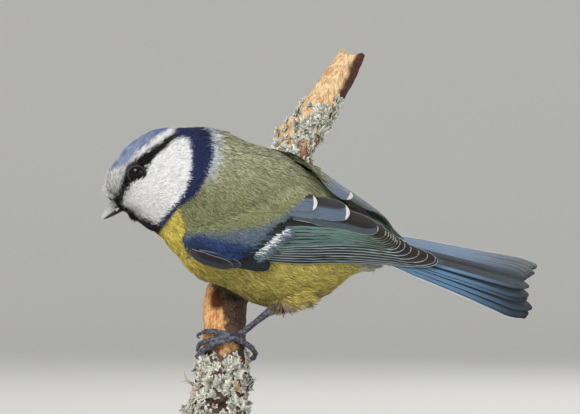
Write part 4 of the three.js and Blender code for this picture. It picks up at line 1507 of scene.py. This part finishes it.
class Wing:
    """A folded wing: rows of vanes on a shell that leaves the body and tapers over the rump."""

    CONE = {
        Side.LEFT: ((-20, 9), (5, 15), (12, 16.3), (22.5, 13), (33, 8.6), (41, 6.3), (50, 4.6)),
        Side.RIGHT: ((-20, 9), (5, 15), (12, 16.3), (22.5, 12.4), (32.6, 8.1), (36, 6.6), (40, 5.8),
                     (50, 5)),
    }
    TURN = {
        Side.LEFT: ((0, 0), (1, 0)),
        Side.RIGHT: ((-15, -14), (4, -12), (13, 8), (17, 15), (21, 16), (28, 5), (32.6, -16), (36, -42),
                     (40, -60), (50, -70)),
    }
    BLEND = 1.6
    CLEAR = 0.45
    PRIMARY_TIPS = ((47.0, 53.5), (48.9, 50), (48.2, 47), (46, 43.6), (43.6, 40.4), (41.4, 37.4),
                    (39.6, 34.6), (38.2, 32.2))
    SECONDARY_TIPS = ((37.4, 32.8), (36.8, 30.6), (36.2, 28.8), (35.5, 27.2), (34.8, 26), (34, 25))
    TERTIALS = (((9, 41), (21, 31), (31.8, 24), 5.6), ((6, 38), (15, 28), (23.6, 21.5), 6.2),
                ((4, 35), (9, 30), (14.8, 26.5), 5.0))
    COVERT_TIPS = ((1.3, 85.6), (2.6, 82.2), (4, 79), (4.9, 74.8), (5.8, 70.6), (6.7, 66.4), (7.6, 62.2),
                   (8.0, 58.4), (8.1, 55.4))
    PRIMARY_COVERT_TIPS = ((6.2, 86.2), (5.5, 84.8), (4.8, 83.4), (4.2, 82.4))
    ALULA_TIPS = ((-1.2, 91), (-3.2, 93))
    CORE = ((-15.6, 78, 90, 0.5), (-13.5, 70, 94, 1.1), (-9, 62, 95, 1.5), (-3, 54, 91, 1.5),
            (3, 44, 85, 1.2), (9, 34, 78, 0.9), (14, 30, 66, 0.7))
    PAD_GRID = (24, 14)
    PAD_SHADE = 0.45
    OUTLINE = ((-19.3, 75.5), (-18, 78.4), (-14.5, 80.8), (-7.6, 83.3), (0.3, 86.6), (6.4, 90),
               (12.4, 92.6), (15.2, 91.2), (14.9, 88.4), (12.2, 85), (8.6, 81.6), (5.6, 78.6),
               (0.4, 74.3), (-2.8, 72), (-8.6, 71.6), (-14.5, 72.8), (-18, 73.6))
    SHOULDER = 2.6
    FAR_REACH = 4.5
    TUFT = Tuft((1.7, 2.8), 0.2, 0.42, sink=0.1, tone=0.3, wisp=0.1, stray=0.3, root_shade=0.6)
    TUFTS = 4700
    COAT_LIFT = 1.7
    BAR_LIFT = 2.15
    LIE = ((20, 1.7), (45, 0.9), (62, 0.1), (78, -0.25), (95, -0.3))
    OUTSIDE = 45.0
    STEP = 3.0

    def __init__(self, side: Side, skin: Skin) -> None:
        """Measures the body's radius round the trunk's length.

        Args:
            side: the wing's side.
            skin: the skin, for its outer surface and markings.
        """
        self.side = side
        self.plumage = skin.plumage
        self.xs = np.arange(-22.0, 53.0, 1.0)
        self.angles = np.arange(-30.0, 126.0, self.STEP)
        self.radius = np.array([[self._reach(skin.outer, x, a) for a in self.angles] for x in self.xs])

    def _phi(self, x: Array, angle: Array) -> Array:
        """The angle from the back to the bird's left, in radians."""
        return np.radians(self.side.sign * angle + table(self.TURN[self.side], x))

    def _reach(self, outer: BVHTree, x: float, angle: float) -> float:
        """Measures the wing's shell at one place.

        Args:
            outer: a search tree on the body's outer surface.
            x: the place along the trunk.
            angle: degrees from the back towards the wing's own flank.

        Returns:
            The radius.
        """
        phi = float(self._phi(np.array(x), np.array(angle)))
        way = TRUNK.way(0, -math.sin(phi), math.cos(phi))
        axis = TRUNK.world([x, 0, 0])
        hit = outer.ray_cast(Vector((axis + way * self.OUTSIDE) * MM), Vector(-way))
        body = (self.OUTSIDE - hit[3] / MM if hit[3] is not None else 0.0) + self.CLEAR
        cone = float(table(self.CONE[self.side], np.array(x)))
        share = max(self.BLEND - abs(body - cone), 0) / self.BLEND
        return max(body, cone) + share * share * self.BLEND / 4

    def surface(self, x: Array, angle: Array, lift: Array) -> Array:
        """Places on the shell.

        Args:
            x: the place along the trunk.
            angle: degrees from the back towards the wing's own flank.
            lift: millimetres above the shell.

        Returns:
            Places.
        """
        column = np.clip((angle - self.angles[0]) / self.STEP, 0, len(self.angles) - 1.001)
        row = np.clip(x - self.xs[0], 0, len(self.xs) - 1.001)
        r0, c0 = row.astype(int), column.astype(int)
        fr, fc = row - r0, column - c0
        radius = (self.radius[r0, c0] * (1 - fr) * (1 - fc) + self.radius[r0 + 1, c0] * fr * (1 - fc)
                  + self.radius[r0, c0 + 1] * (1 - fr) * fc + self.radius[r0 + 1, c0 + 1] * fr * fc)
        phi = self._phi(x, angle)
        reach = radius + lift
        return TRUNK.world(np.stack([x, -reach * np.sin(phi), reach * np.cos(phi)], axis=-1))

    def metric(self, x: Array) -> Array:
        """Millimetres to one degree, along the wing."""
        return np.radians(1.0) * np.maximum(table(self.CONE[self.side], x), 5.0)

    def flight(self) -> list[Feather]:
        """Primaries, secondaries and tertials, lowest first."""
        looks = WingLooks()
        look = looks.of("primary", self.side)
        made = [Feather((-3 + 0.9 * i, 82 - 1.7 * i), (29, 71.5 - 4 * i), tip, 4.4,
                        (0.2 + 0.1 * i, 0.25 + 0.09 * i), look, 0.84, along=26)
                for i, tip in enumerate(self.PRIMARY_TIPS)]
        look = looks.of("secondary", self.side)
        made += [Feather((2 + 0.8 * i, 69 - 3.4 * i), (22, 49 - 3.6 * i), tip, 4.8,
                         (1.0 + 0.07 * i, 0.95 + 0.07 * i), look, 0.84, along=24)
                 for i, tip in enumerate(self.SECONDARY_TIPS)]
        for i, (root, bend, tip, width) in enumerate(self.TERTIALS):
            look = looks.of("tertial" if i == 0 else "tertial_tipped", self.side)
            made.append(Feather(root, bend, tip, width, (1.5 - 0.08 * i, 1.4 + 0.24 * i), look, 0.76, 11))
        return made

    def coverts(self) -> list[Feather]:
        """Greater and primary coverts and the alula."""
        looks = WingLooks()
        look = looks.of("primary_covert", self.side)
        made = [Feather((x - 12, angle + 4), (x - 5, angle + 2.4), (x, angle), 3.0,
                        (1.0 + 0.1 * i, 1.45 + 0.1 * i), look, 0.8, 7, 12)
                for i, (x, angle) in enumerate(self.PRIMARY_COVERT_TIPS)]
        look = looks.of("alula", self.side)
        made += [Feather((x - 11.5, angle - 2), (x - 6, angle + 0.4), (x, angle), 2.1,
                         (1.9 + 0.15 * i, 2.0 + 0.15 * i), look, 0.7, 7, 14)
                 for i, (x, angle) in enumerate(self.ALULA_TIPS)]
        last = len(self.COVERT_TIPS) - 1
        for i, (x, angle) in enumerate(self.COVERT_TIPS):
            look = looks.of("covert" if 1 < i < last else "primary_covert", self.side)
            made.append(Feather((x - 9, angle + 3), (x - 4, angle + 1.2), (x, angle), 3.0,
                                (0.7 + 0.06 * i, 1.75 + 0.05 * i), look, 0.84, 7, 12))
        return made

    def _core(self, material: Material) -> Piece:
        """The smooth pad under the small feathers of the wing's front.

        Args:
            material: the coat's finish.

        Returns:
            The pad's object.
        """
        rows, columns = self.PAD_GRID
        x = np.linspace(self.CORE[0][0], self.CORE[-1][0], rows)[:, None]
        upper, lower, thick = (table([(row[0], row[k]) for row in self.CORE], x) for k in (1, 2, 3))
        t = np.linspace(0, 1, columns)[None]
        angle = upper + (lower - upper) * t
        x = np.broadcast_to(x, angle.shape)
        top = self.surface(x, angle, thick * smooth(0.0, 0.6, t) * np.sqrt(smooth(1.02, 0.9, t)) - 0.1)
        under = self.surface(x, angle, np.full_like(angle, -0.4))
        points = np.concatenate([top.reshape(-1, 3), under.reshape(-1, 3)])
        faces = closed_sheet(rows, columns)
        if self.side is Side.LEFT:
            faces = faces[:, ::-1]
        # painted shade: the pad is darkened by PAD_SHADE, as it shows only in the shade under the tufts
        colour = self.plumage.wing(points, np.zeros((len(points), 2))) * self.PAD_SHADE
        batch = Batch()
        batch.add(points, faces, {BAKE_MAP: Skin.unwrapped(points)}, {"plumage": colour})
        return batch.build(f"wing_pad_{self.side.word}", material)

    def _coat(self, material: Material) -> Piece:
        """Tufts over the wing's front: shoulder feathers, lesser and median coverts, the bar.

        Args:
            material: the coat's finish.

        Returns:
            The tufts' object.
        """
        maker = TuftMaker(21 if self.side is Side.LEFT else 22)
        draw = maker.random
        x = draw.uniform(-18, 17, self.TUFTS * 4)
        angle = draw.uniform(18, 97, len(x))
        place = profile(TRUNK, self.surface(x, angle, 0.8 + 0 * x), -1.0)
        if self.side is Side.RIGHT:
            place[:, 0] -= self.FAR_REACH * smooth(79, 86, place[:, 1])
        bar = inside(place, self.plumage.BAR, 0.2)
        deep = np.clip(2 * inside(place, self.OUTLINE, self.SHOULDER) - 1, 0, 1)
        deep = np.maximum(deep, smooth(76, 86, angle) * smooth(-18, -12, x))
        lift = self.COAT_LIFT * deep * smooth(-18, -8, x) * smooth(98, 91, angle) - 0.1
        lift = lift * (1 - bar) + self.BAR_LIFT * bar
        roots = self.surface(x, angle, lift)
        start = inside(place, self.OUTLINE, 0.3) * np.where(angle < 70, 0.25 + 0.75 * deep, 1.0)
        start = np.maximum(start, bar * 0.7)
        keep = np.flatnonzero(draw.random(len(x)) < start)[: self.TUFTS]
        x, angle, lift, roots = x[keep], angle[keep], lift[keep], roots[keep]
        rate = table(self.LIE, angle)
        ahead = self.surface(x + 0.5, angle + 0.5 * rate, lift)
        beside = self.surface(x, angle + 1.0, lift)
        lie = unit(ahead - roots)
        normals = unit(np.cross(lie, beside - roots)) * -self.side.sign
        outward = unit(roots - TRUNK.world(np.stack([x, 0 * x, 0 * x], -1)))
        normals = normals * np.sign(np.sum(normals * outward, axis=1, keepdims=True))
        name = f"coat_wing_{self.side.word}"
        return maker.grow(name, self.TUFT, (roots, normals, lie), self.plumage.wing, material)

    def build(self, vane: Material, coat: Material) -> list[Piece]:
        """Makes the wing's pieces, which stand for the wing's node.

        Args:
            vane: the finish of the long feathers.
            coat: the finish of the small ones.

        Returns:
            The long feathers, the pad and the tufts.
        """
        maker = VaneMaker(self.surface, 5 if self.side is Side.LEFT else 6, self.metric)
        for feather in self.flight() + self.coverts():
            maker.add(feather)
        name = f"wing_{self.side.word}"
        pieces = [maker.batch.build(f"feathers_{name}", vane), self._core(coat), self._coat(coat)]
        for piece in pieces:
            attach(piece, BODY)
        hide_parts(name)
        return pieces


@dataclass
class Tail:
    """Twelve feathers fanned from the rump's end, the middle pair on top."""

    start: Pair = (30.0, 1.9)
    length: float = 45.6
    sink: float = 4.5
    lean: float = 2.3
    vane: float = 6.4
    spread: tuple[float, ...] = (-12.7, -11.9, -9.6, -6.6, -5.2, -1.6, 2.2, 4.4, 6.6, 9.2, 11.2, 12.5)
    root_share: float = 0.3
    near: Web = Web(srgb(92, 124, 154), srgb(36, 42, 52), srgb(50, 58, 68), srgb(34, 38, 40), 0.1, 1.7,
                    0.7, srgb(40, 50, 56))
    edge: Web = replace(near, fringe=srgb(206, 204, 204), fringe_width=0.26, band_width=1.4, tip_length=0.6)
    slot: str = "feather_blue"

    def surface(self, distance: Array, across: Array, lift: Array) -> Array:
        """Places on the fan.

        Args:
            distance: millimetres along it.
            across: millimetres across it.
            lift: millimetres above it.

        Returns:
            Places.
        """
        along = distance / self.length
        x = self.start[0] + distance
        z = self.start[1] - self.sink * along - (across / 12) ** 2 * 1.2
        return TRUNK.world(np.stack([x, across + self.lean * along, z + lift], axis=-1))

    def build(self, material: Material) -> Piece:
        """Makes the tail's piece, which stands for the tail's node with the skin.

        Args:
            material: the feathers' finish.

        Returns:
            The piece's object.
        """
        middle = (len(self.spread) - 1) / 2
        maker = VaneMaker(self.surface, 9, lambda x: np.ones_like(x))
        for i in sorted(range(len(self.spread)), key=lambda i: -abs(i - middle)):
            tip = self.spread[i]
            share = abs(tip) / max(self.spread)
            uneven = 0.011 * (i * 7 % 3 - 1)
            reach = self.length * (0.947 + 0.055 * share - (0.015 if share > 0.95 else 0) + uneven)
            lift = 1.05 - 0.15 * abs(i - middle)
            near = tip < 0
            maker.slope = -0.07 if near else 0.07
            root = tip * self.root_share
            outermost = i in (0, len(self.spread) - 1)
            bend = (reach * 0.5, root + (tip - root) * (0.38 if near else 0.3))
            maker.add(Feather((0.0, root), bend, (reach, tip), self.vane * (-1 if near else 1),
                              (lift * 0.7, lift), self.edge if outermost else self.near, 0.9, along=26,
                              sharp=1.7))
        piece = maker.batch.build("feathers_tail", material)
        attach(piece, BODY)
        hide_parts("tail")
        return piece


@dataclass
class Eyes:
    """Two wet balls between dark lids."""

    radius: float = 2.75
    seen: float = 2.15
    lid: float = 0.27
    ease: float = 0.06
    oval: Place = (1.03, 0.98, 1.0)

    def placed(self) -> list[tuple[Side, Array, Array]]:
        """The side, middle and looking direction of each eye."""
        found = []
        for side in Side:
            low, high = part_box(f"eye_{side.word}")
            way = HEAD.way(0.22, side.sign, 0.06)
            found.append((side, np.array((low + high) / 2) / MM, unit(way)))
        return found

    def build(self, finishes: Finishes) -> list[Piece]:
        """Models both balls and both lids.

        Args:
            finishes: the hard finishes.

        Returns:
            The balls and the lids.
        """
        made = []
        for side, centre, way in self.placed():
            turn = Vector(way).to_track_quat("Z", "Y")
            Bench.clear()
            bpy.ops.mesh.primitive_uv_sphere_add(segments=48, ring_count=32, radius=self.radius * MM,
                                                 location=(centre * MM).tolist())
            ball = self._place(f"eyeball_{side.word}", turn)
            Bench.dress(ball, finishes.eye(centre, way, self.radius))
            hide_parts(f"eye_{side.word}")
            rim = centre + way * math.sqrt(self.radius**2 - self.seen**2)
            Bench.clear()
            bpy.ops.mesh.primitive_torus_add(
                major_segments=48, minor_segments=12, major_radius=(self.seen + self.ease) * MM,
                minor_radius=self.lid * MM, location=(rim * MM).tolist())
            bpy.context.object.scale = self.oval
            lid = self._place(f"lid_{side.word}", turn)
            Bench.dress(lid, finishes.lid())
            made += [ball, lid]
        for piece in made:
            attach(piece, BODY)
        return made

    @staticmethod
    def _place(name: str, turn: object) -> Piece:
        """Names the new piece, turns it to its direction and settles it.

        Args:
            name: the piece's name.
            turn: its turn as a quaternion.

        Returns:
            The piece.
        """
        piece = bpy.context.object
        piece.name = name
        piece.rotation_mode = "QUATERNION"
        piece.rotation_quaternion = turn
        Bench.settle(piece)
        bpy.ops.object.shade_smooth()
        return piece


@dataclass
class Carved:
    """A hard part drawn finer from its faceted solids, with a root where the coat hides it."""

    name: str
    nodes: tuple[str, ...]
    voxel: float
    slot: str
    smoothing: int = 3
    root: tuple[Place, Place] | None = None

    def build(self, nodes: Nodes,
              material: Material) -> Piece:
        """Makes the finer piece, which stands for its nodes.

        Args:
            nodes: the fixed nodes by name.
            material: its finish.

        Returns:
            The piece's object.
        """
        piece = Bench.copy_nodes(self.name, [nodes[name] for name in self.nodes])
        if self.root is not None:
            Bench.join(piece, [Bench.ellipsoid(HEAD, *self.root)])
        Bench.remesh(piece, self.voxel, 0.0, self.smoothing)
        Bench.dress(piece, material)
        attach(piece, BODY)
        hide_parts(*self.nodes)
        return piece


@dataclass
class Perch:
    """The broken branch with its bark, and lichen lobes over two stretches of it."""

    voxel: float = 0.4
    rosettes: int = 680
    stretches: tuple[Place, ...] = ((22.0, 44.5, 0.68), (97.0, 113.0, 0.32))
    line: tuple[Place, ...] = (
        (-14, 5, 19), (-11, 6.8, 30), (-8.6, 8, 38), (-8.2, 10, 48), (-7.8, 16, 60), (-2.6, 26, 72),
        (3.9, 32, 86), (10.6, 38, 100.5), (27, 47, 126))
    bark: tuple[tuple[str, float, float], ...] = (("bark_folds", 2.6, 0.6), ("bark_grain", 0.9, 0.25))
    pale: Colour = srgb(242, 243, 228)
    dark: Colour = srgb(64, 66, 54)
    rust: Colour = (0.85, 0.5, 0.34)
    rusty: float = 0.07
    lobe_depth: float = 0.12

    def build(self, nodes: Nodes, finishes: Finishes) -> list[Piece]:
        """Models the wood and the lichen.

        Args:
            nodes: the fixed nodes by name.
            finishes: the hard finishes.

        Returns:
            The wood and the lichen.
        """
        wood = Bench.copy_nodes("branch", [nodes["perch"]])
        Bench.remesh(wood, self.voxel, 0.0, 3)
        for name, size, depth in self.bark:
            texture = bpy.data.textures.new(name, "CLOUDS")
            texture.noise_scale = size * MM
            Bench.modify(wood, "DISPLACE", texture=texture, strength=depth * MM, mid_level=0.62,
                             texture_coords="LOCAL")
        Bench.dress(wood, finishes.perch())
        lichen = self._lichen(wood, finishes.lichen())
        for piece in (wood, lichen):
            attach(piece, BODY)
        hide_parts("perch")
        return [wood, lichen]

    def _lichen(self, wood: Piece, material: Material) -> Piece:
        """Forked lobes in rosettes, standing a little off the bark.

        Args:
            wood: the branch.
            material: the lobes' finish.

        Returns:
            The lichen's object.
        """
        draw = np.random.default_rng(3)
        tree = tree_of(wood)
        heights = [point[2] for point in self.line]
        batch = Batch()
        made = 0
        while made < self.rosettes:
            start, end, _ = self.stretches[0 if draw.random() < self.stretches[0][2] else 1]
            height = draw.uniform(start, end)
            around = draw.uniform(0, 2 * math.pi)
            axis = np.array([np.interp(height, heights, values) for values in zip(*self.line)])
            way = Vector((math.cos(around), math.sin(around), draw.uniform(-0.2, 0.2))).normalized()
            hit = tree.ray_cast(Vector(axis * MM) + way * 0.02, -way)
            if hit[0] is None:
                continue
            made += 1
            size = draw.uniform(0.8, 1.9)
            turn = draw.uniform(0, 2 * math.pi)
            tint = draw.uniform(0.7, 1.1)
            for k in range(int(draw.integers(3, 7))):
                spin = turn + k * 1.05 + draw.normal(0, 0.5)
                ground = (np.array(hit[0]) / MM, np.array(hit[1]))
                self._lobe(batch, draw, ground, size * draw.uniform(0.5, 1.15),
                           (spin, tint * draw.uniform(0.85, 1.1)))
        return batch.build("lichen", material)

    def _lobe(self, batch: Batch, draw: np.random.Generator, ground: tuple[Array, Array], size: float,
              turn_and_tint: Pair) -> None:
        """One curled lobe, widest at its end and forked there.

        Args:
            batch: takes the lobe in.
            draw: the random draws.
            ground: the bark's place and normal under it.
            size: its size.
            turn_and_tint: the way it points, in radians, and how light it is.
        """
        centre, normal = ground
        turn, tint = turn_and_tint
        first = unit(np.cross(normal, [0.31, 0.5, 0.81]))
        way = first * math.cos(turn) + np.cross(normal, first) * math.sin(turn)
        side = np.cross(normal, way)
        tilt = draw.uniform(0.0, 0.65)
        reach = size * draw.uniform(0.8, 1.4)
        rows = []
        for t in (0.0, 0.4, 0.75, 1.0):
            half = size * (0.16 + 0.5 * math.sin(math.pi * min(t, 0.86) * 0.72))
            rise = size * tilt * t * (1.2 - 0.5 * t) + 0.05
            middle = centre + way * reach * t + normal * rise
            back = way * (0.28 * size if t == 1.0 else 0.0)
            curl = normal * (0.22 * size * t)
            rows.append([middle - side * half + curl, middle - back, middle + side * half + curl])
        rows = np.array(rows)
        points = np.concatenate([rows.reshape(-1, 3), (rows - normal * self.lobe_depth).reshape(-1, 3)])
        pale, dark = np.array(self.pale), np.array(self.dark)
        # painted shade and light: each lobe is dark at its root, painted shade where it meets the bark, and
        # pale at its rim, partly its own colour and partly a painted highlight
        edge = np.tile(np.repeat([0.0, 0.4, 0.85, 1.0], 3), 2)[:, None]
        colour = (dark + (pale - dark) * edge) * tint
        if draw.random() < self.rusty:
            colour = colour * np.array(self.rust)
        batch.add(points, closed_sheet(4, 3)[:, ::-1], {}, {"plumage": colour})


@dataclass
class Stand:
    """A turned wooden base with a groove, and one steel rod."""

    base_radius: float = 42.0
    base_height: float = 8.0
    rod_radius: float = 2.5
    steps: Curve = ((1.8, 1.8), (1.2, 0.0), (0.5, -0.5), (0.7, 0.0), (0.5, 0.5))

    def build(self, finishes: Finishes) -> list[Piece]:
        """Models the base and the rod.

        Args:
            finishes: the hard finishes.

        Returns:
            The base and the rod.
        """
        side = self.base_height - self.steps[0][1]
        base = self._cylinder("base_turned", self.base_radius, (0.0, 0.0, side / 2), side, 128)
        Bench.choose(base, "FACE", lambda face: face.normal.z > 0.9)
        for thickness, depth in self.steps:
            bpy.ops.mesh.inset(thickness=thickness * MM, depth=depth * MM)
        bpy.ops.object.mode_set(mode="OBJECT")
        low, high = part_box("stand_rod")
        middle = tuple((low + high) / 2 / MM)
        rod = self._cylinder("rod_turned", self.rod_radius, middle, (high.z - low.z) / MM, 64)
        for piece, node, slot, material, width in (
            (base, "stand_base", "stand_wood", finishes.stand(), 0.3),
            (rod, "stand_rod", "stand_steel", finishes.steel(), 0.2),
        ):
            Bench.modify(piece, "BEVEL", width=width * MM, segments=3, limit_method="ANGLE",
                             angle_limit=math.radians(30))
            bpy.ops.object.shade_smooth_by_angle(angle=math.radians(35))
            Bench.dress(piece, material)
            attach(piece, BODY)
            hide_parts(node)
        return [base, rod]

    @staticmethod
    def _cylinder(name: str, radius: float, middle: Place, depth: float, sides: int) -> Piece:
        """Adds a closed cylinder with its place in its mesh.

        Args:
            name: its name.
            radius, middle, depth: its size and place.
            sides: the number of its sides.

        Returns:
            The cylinder.
        """
        Bench.clear()
        bpy.ops.mesh.primitive_cylinder_add(vertices=sides, radius=radius * MM, depth=depth * MM,
                                            location=[value * MM for value in middle])
        piece = Bench.settle(bpy.context.object)
        piece.name = name
        return piece


@dataclass
class Studio:
    """The pale floor, soft lights and the camera at the photograph's view."""

    aim: Pair = (9.2, 84.2)
    distance: float = 1272.0
    lens: float = 300.0
    lamps: tuple[tuple[str, Place, float, float, Colour], ...] = (
        ("key", (-0.5, -1.1, 0.8), 15.0, 0.6, (1.0, 0.985, 0.96)),
        ("fill", (0.9, -0.9, 0.3), 4.5, 0.9, (0.96, 0.98, 1.0)),
        ("back", (0.3, 0.9, 0.7), 3.0, 0.6, (1.0, 1.0, 1.0)),
    )
    backdrop: Colour = srgb(214, 215, 216)
    glow: float = 0.75
    sweep: Pair = (1.6, 1.2)
    turns: int = 16
    under: float = 0.0002
    middle: Place = (0, 0, 0.085)

    def camera(self) -> None:
        """Sets the camera level with the bird, a long way off."""
        data = bpy.data.cameras.new("view")
        data.lens = self.lens
        data.sensor_width = 36.0
        data.clip_end = 20.0
        camera = bpy.data.objects.new("view", data)
        camera.location = (self.aim[0] * MM, -self.distance * MM, self.aim[1] * MM)
        camera.rotation_euler = (math.pi / 2, 0, 0)
        bpy.context.scene.collection.objects.link(camera)
        bpy.context.scene.camera = camera

    def light(self) -> None:
        """Adds the lights and the pale surroundings, shown without a film curve."""
        for name, place, power, size, tint in self.lamps:
            data = bpy.data.lights.new(name, "AREA")
            data.energy = power
            data.size = size
            data.color = tint
            lamp = bpy.data.objects.new(name, data)
            lamp.location = place
            lamp.rotation_mode = "QUATERNION"
            lamp.rotation_quaternion = (Vector(self.middle) - Vector(place)).to_track_quat("-Z", "Y")
            bpy.context.scene.collection.objects.link(lamp)
        world = bpy.data.worlds.new("studio")
        world.use_nodes = True
        shader = world.node_tree.nodes["Background"]
        shader.inputs["Color"].default_value = (*self.backdrop, 1.0)
        shader.inputs["Strength"].default_value = self.glow
        bpy.context.scene.world = world
        bpy.context.scene.view_settings.view_transform = "Standard"

    def floor(self, finishes: Finishes) -> Piece:
        """Lays the floor just under the base and curves it up behind.

        Args:
            finishes: the hard finishes.

        Returns:
            The floor, which is not part of the object.
        """
        Bench.clear()
        flat, radius = self.sweep
        bpy.ops.mesh.primitive_plane_add(size=2 * flat, location=(0, 0, -self.under))
        floor = Bench.settle(bpy.context.object)
        floor.name = "floor"
        corners = floor.data.vertices
        Bench.choose(floor, "EDGE", lambda edge: all(corners[k].co.y > 0 for k in edge.vertices))
        chord = 2 * radius * math.sin(math.pi / 4 / self.turns)
        for step in range(self.turns):
            rise = (step + 0.5) * math.pi / 2 / self.turns
            move = (0, chord * math.cos(rise), chord * math.sin(rise))
            bpy.ops.mesh.extrude_region_move(TRANSFORM_OT_translate={"value": move})
        bpy.ops.mesh.extrude_region_move(TRANSFORM_OT_translate={"value": (0, 0, flat)})
        bpy.ops.object.mode_set(mode="OBJECT")
        bpy.ops.object.shade_smooth()
        Bench.dress(floor, finishes.floor())
        return floor


def coat_patches(plumage: Plumage) -> list[CoatPatch]:
    """The coat's pieces: two halves of the head, the body from neck to tail, and the forehead.

    Args:
        plumage: the markings, which say where the head ends.

    Returns:
        The patches in the order in which they grow.
    """

    def near(points: Array) -> Array:
        """One on the head's left half."""
        return (HEAD.local(points)[:, 1] > 0).astype(float)

    def head(points: Array) -> Array:
        """The head's share, denser towards the face."""
        return plumage.on_head(points) * (1 + 1.2 * smooth(-2, 10, HEAD.local(points)[:, 0]))

    def forehead(points: Array) -> Array:
        """The share of the fluffy feathers over the bill's root."""
        x, _, z = HEAD.local(points).T
        return plumage.on_head(points) * smooth(7.6, 9.6, x) * smooth(3.4, 5.6, z)

    def body(points: Array, low: float, high: float, start: float = -60.0, end: float = 30.0) -> Array:
        """The trunk's share.

        Args:
            points: places.
            low, high: the angles from the back that it lies between, the left side positive.
            start, end: the places along the trunk that it lies between.

        Returns:
            One inside, zero outside.
        """
        x, y, z = TRUNK.local(points).T
        angle = np.degrees(np.arctan2(-y, z))
        within = (angle > low) & (angle <= high) & (x > start) & (x <= end)
        return (1 - plumage.on_head(points)) * within

    def under(points: Array, start: float, end: float) -> Array:
        """The share of the breast and belly between two places along the trunk."""
        return body(points, 84, turn, start, end) + body(points, -turn, -96, start, end)

    face = Tuft((1.3, 2.7), 0.17, 0.85, blades=5, fan=0.2, tone=0.13, wisp=0.06, stray=0.34,
                root_shade=0.56, tip_shade=1.14)
    fluffy = replace(face, length=(1.7, 2.8), lift=1.35)
    back = Tuft((2.4, 4.0), 0.23, 0.85, tone=0.3, wisp=0.07, root_shade=0.42, tip_shade=1.12)
    down = replace(back, width=0.21, lift=0.75, tone=0.28)
    close = Tuft((1.8, 2.9), 0.2, 0.5, tone=0.2, wisp=0.07)
    turn = 360.0
    return [
        CoatPatch("coat_head_left", lambda p: head(p) * near(p), 13000, face, "plumage_white"),
        CoatPatch("coat_head_right", lambda p: head(p) * (1 - near(p)), 12500, face, "plumage_white"),
        CoatPatch("coat_mantle_left", lambda p: body(p, -15, 84), 9200, back),
        CoatPatch("coat_mantle_right", lambda p: body(p, -96, -15), 7600, back),
        CoatPatch("coat_breast", lambda p: under(p, -60, -4), 8600, back),
        CoatPatch("coat_belly", lambda p: under(p, -4, 30), 8600, down),
        CoatPatch("coat_rump", lambda p: body(p, -turn, turn, 26, 60), 4200, close),
        CoatPatch("coat_forehead", forehead, 1200, fluffy, "plumage_white"),
    ]


def main() -> None:
    """Builds the bird, its perch and stand, and the studio."""
    logging.basicConfig(level=logging.INFO, format="%(name)s: %(message)s")
    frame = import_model()
    nodes = frame["nodes"]
    finishes = Finishes()
    studio = Studio()
    studio.camera()
    studio.light()
    studio.floor(finishes)
    eyes = Eyes()
    sights = [(centre, way) for _, centre, way in eyes.placed()]
    skin = Skin(nodes, Plumage())
    made = [skin.build([centre for centre, _ in sights])]
    coat = Coat(skin, sights)
    feathered = CoatFinish().material("coat_feathers")
    made += [coat.build(patch, feathered) for patch in coat_patches(skin.plumage)]
    vanes = VaneFinish().material("vane_wing")
    for side in Side:
        made += Wing(side, skin).build(vanes, feathered)
    made.append(Tail().build(VaneFinish(streaks=1.1).material("vane_tail")))
    made += eyes.build(finishes)
    leg, claw = finishes.leg(), finishes.claw()
    carved = [
        (Carved("bill_top", ("bill_upper",), 0.09, "horn", root=((11.6, 0, 2.4), (2.6, 1.7, 1.5))),
         finishes.bill()),
        (Carved("bill_bottom", ("bill_lower",), 0.09, "horn", root=((11.4, 0, 0.2), (2.4, 1.6, 0.65))),
         finishes.lower_bill()),
    ]
    for side in Side:
        word = side.word
        claws = tuple(f"claw_{word}_{toe}" for toe in ("inner", "middle", "outer", "hind"))
        carved += [
            (Carved(f"leg_{word}", (f"tarsus_{word}",), 0.14, "leg"), leg),
            (Carved(f"toes_{word}", (f"foot_{word}",), 0.14, "leg"), leg),
            (Carved(f"claws_{word}", claws, 0.07, "claw", 2), claw),
        ]
    made += [part.build(nodes, material) for part, material in carved]
    made += Perch().build(nodes, finishes) + Stand().build(finishes)
    for piece in made:
        LOG.info("%s: %d faces", piece.name, len(piece.data.polygons))


if __name__ == "__main__":
    main()
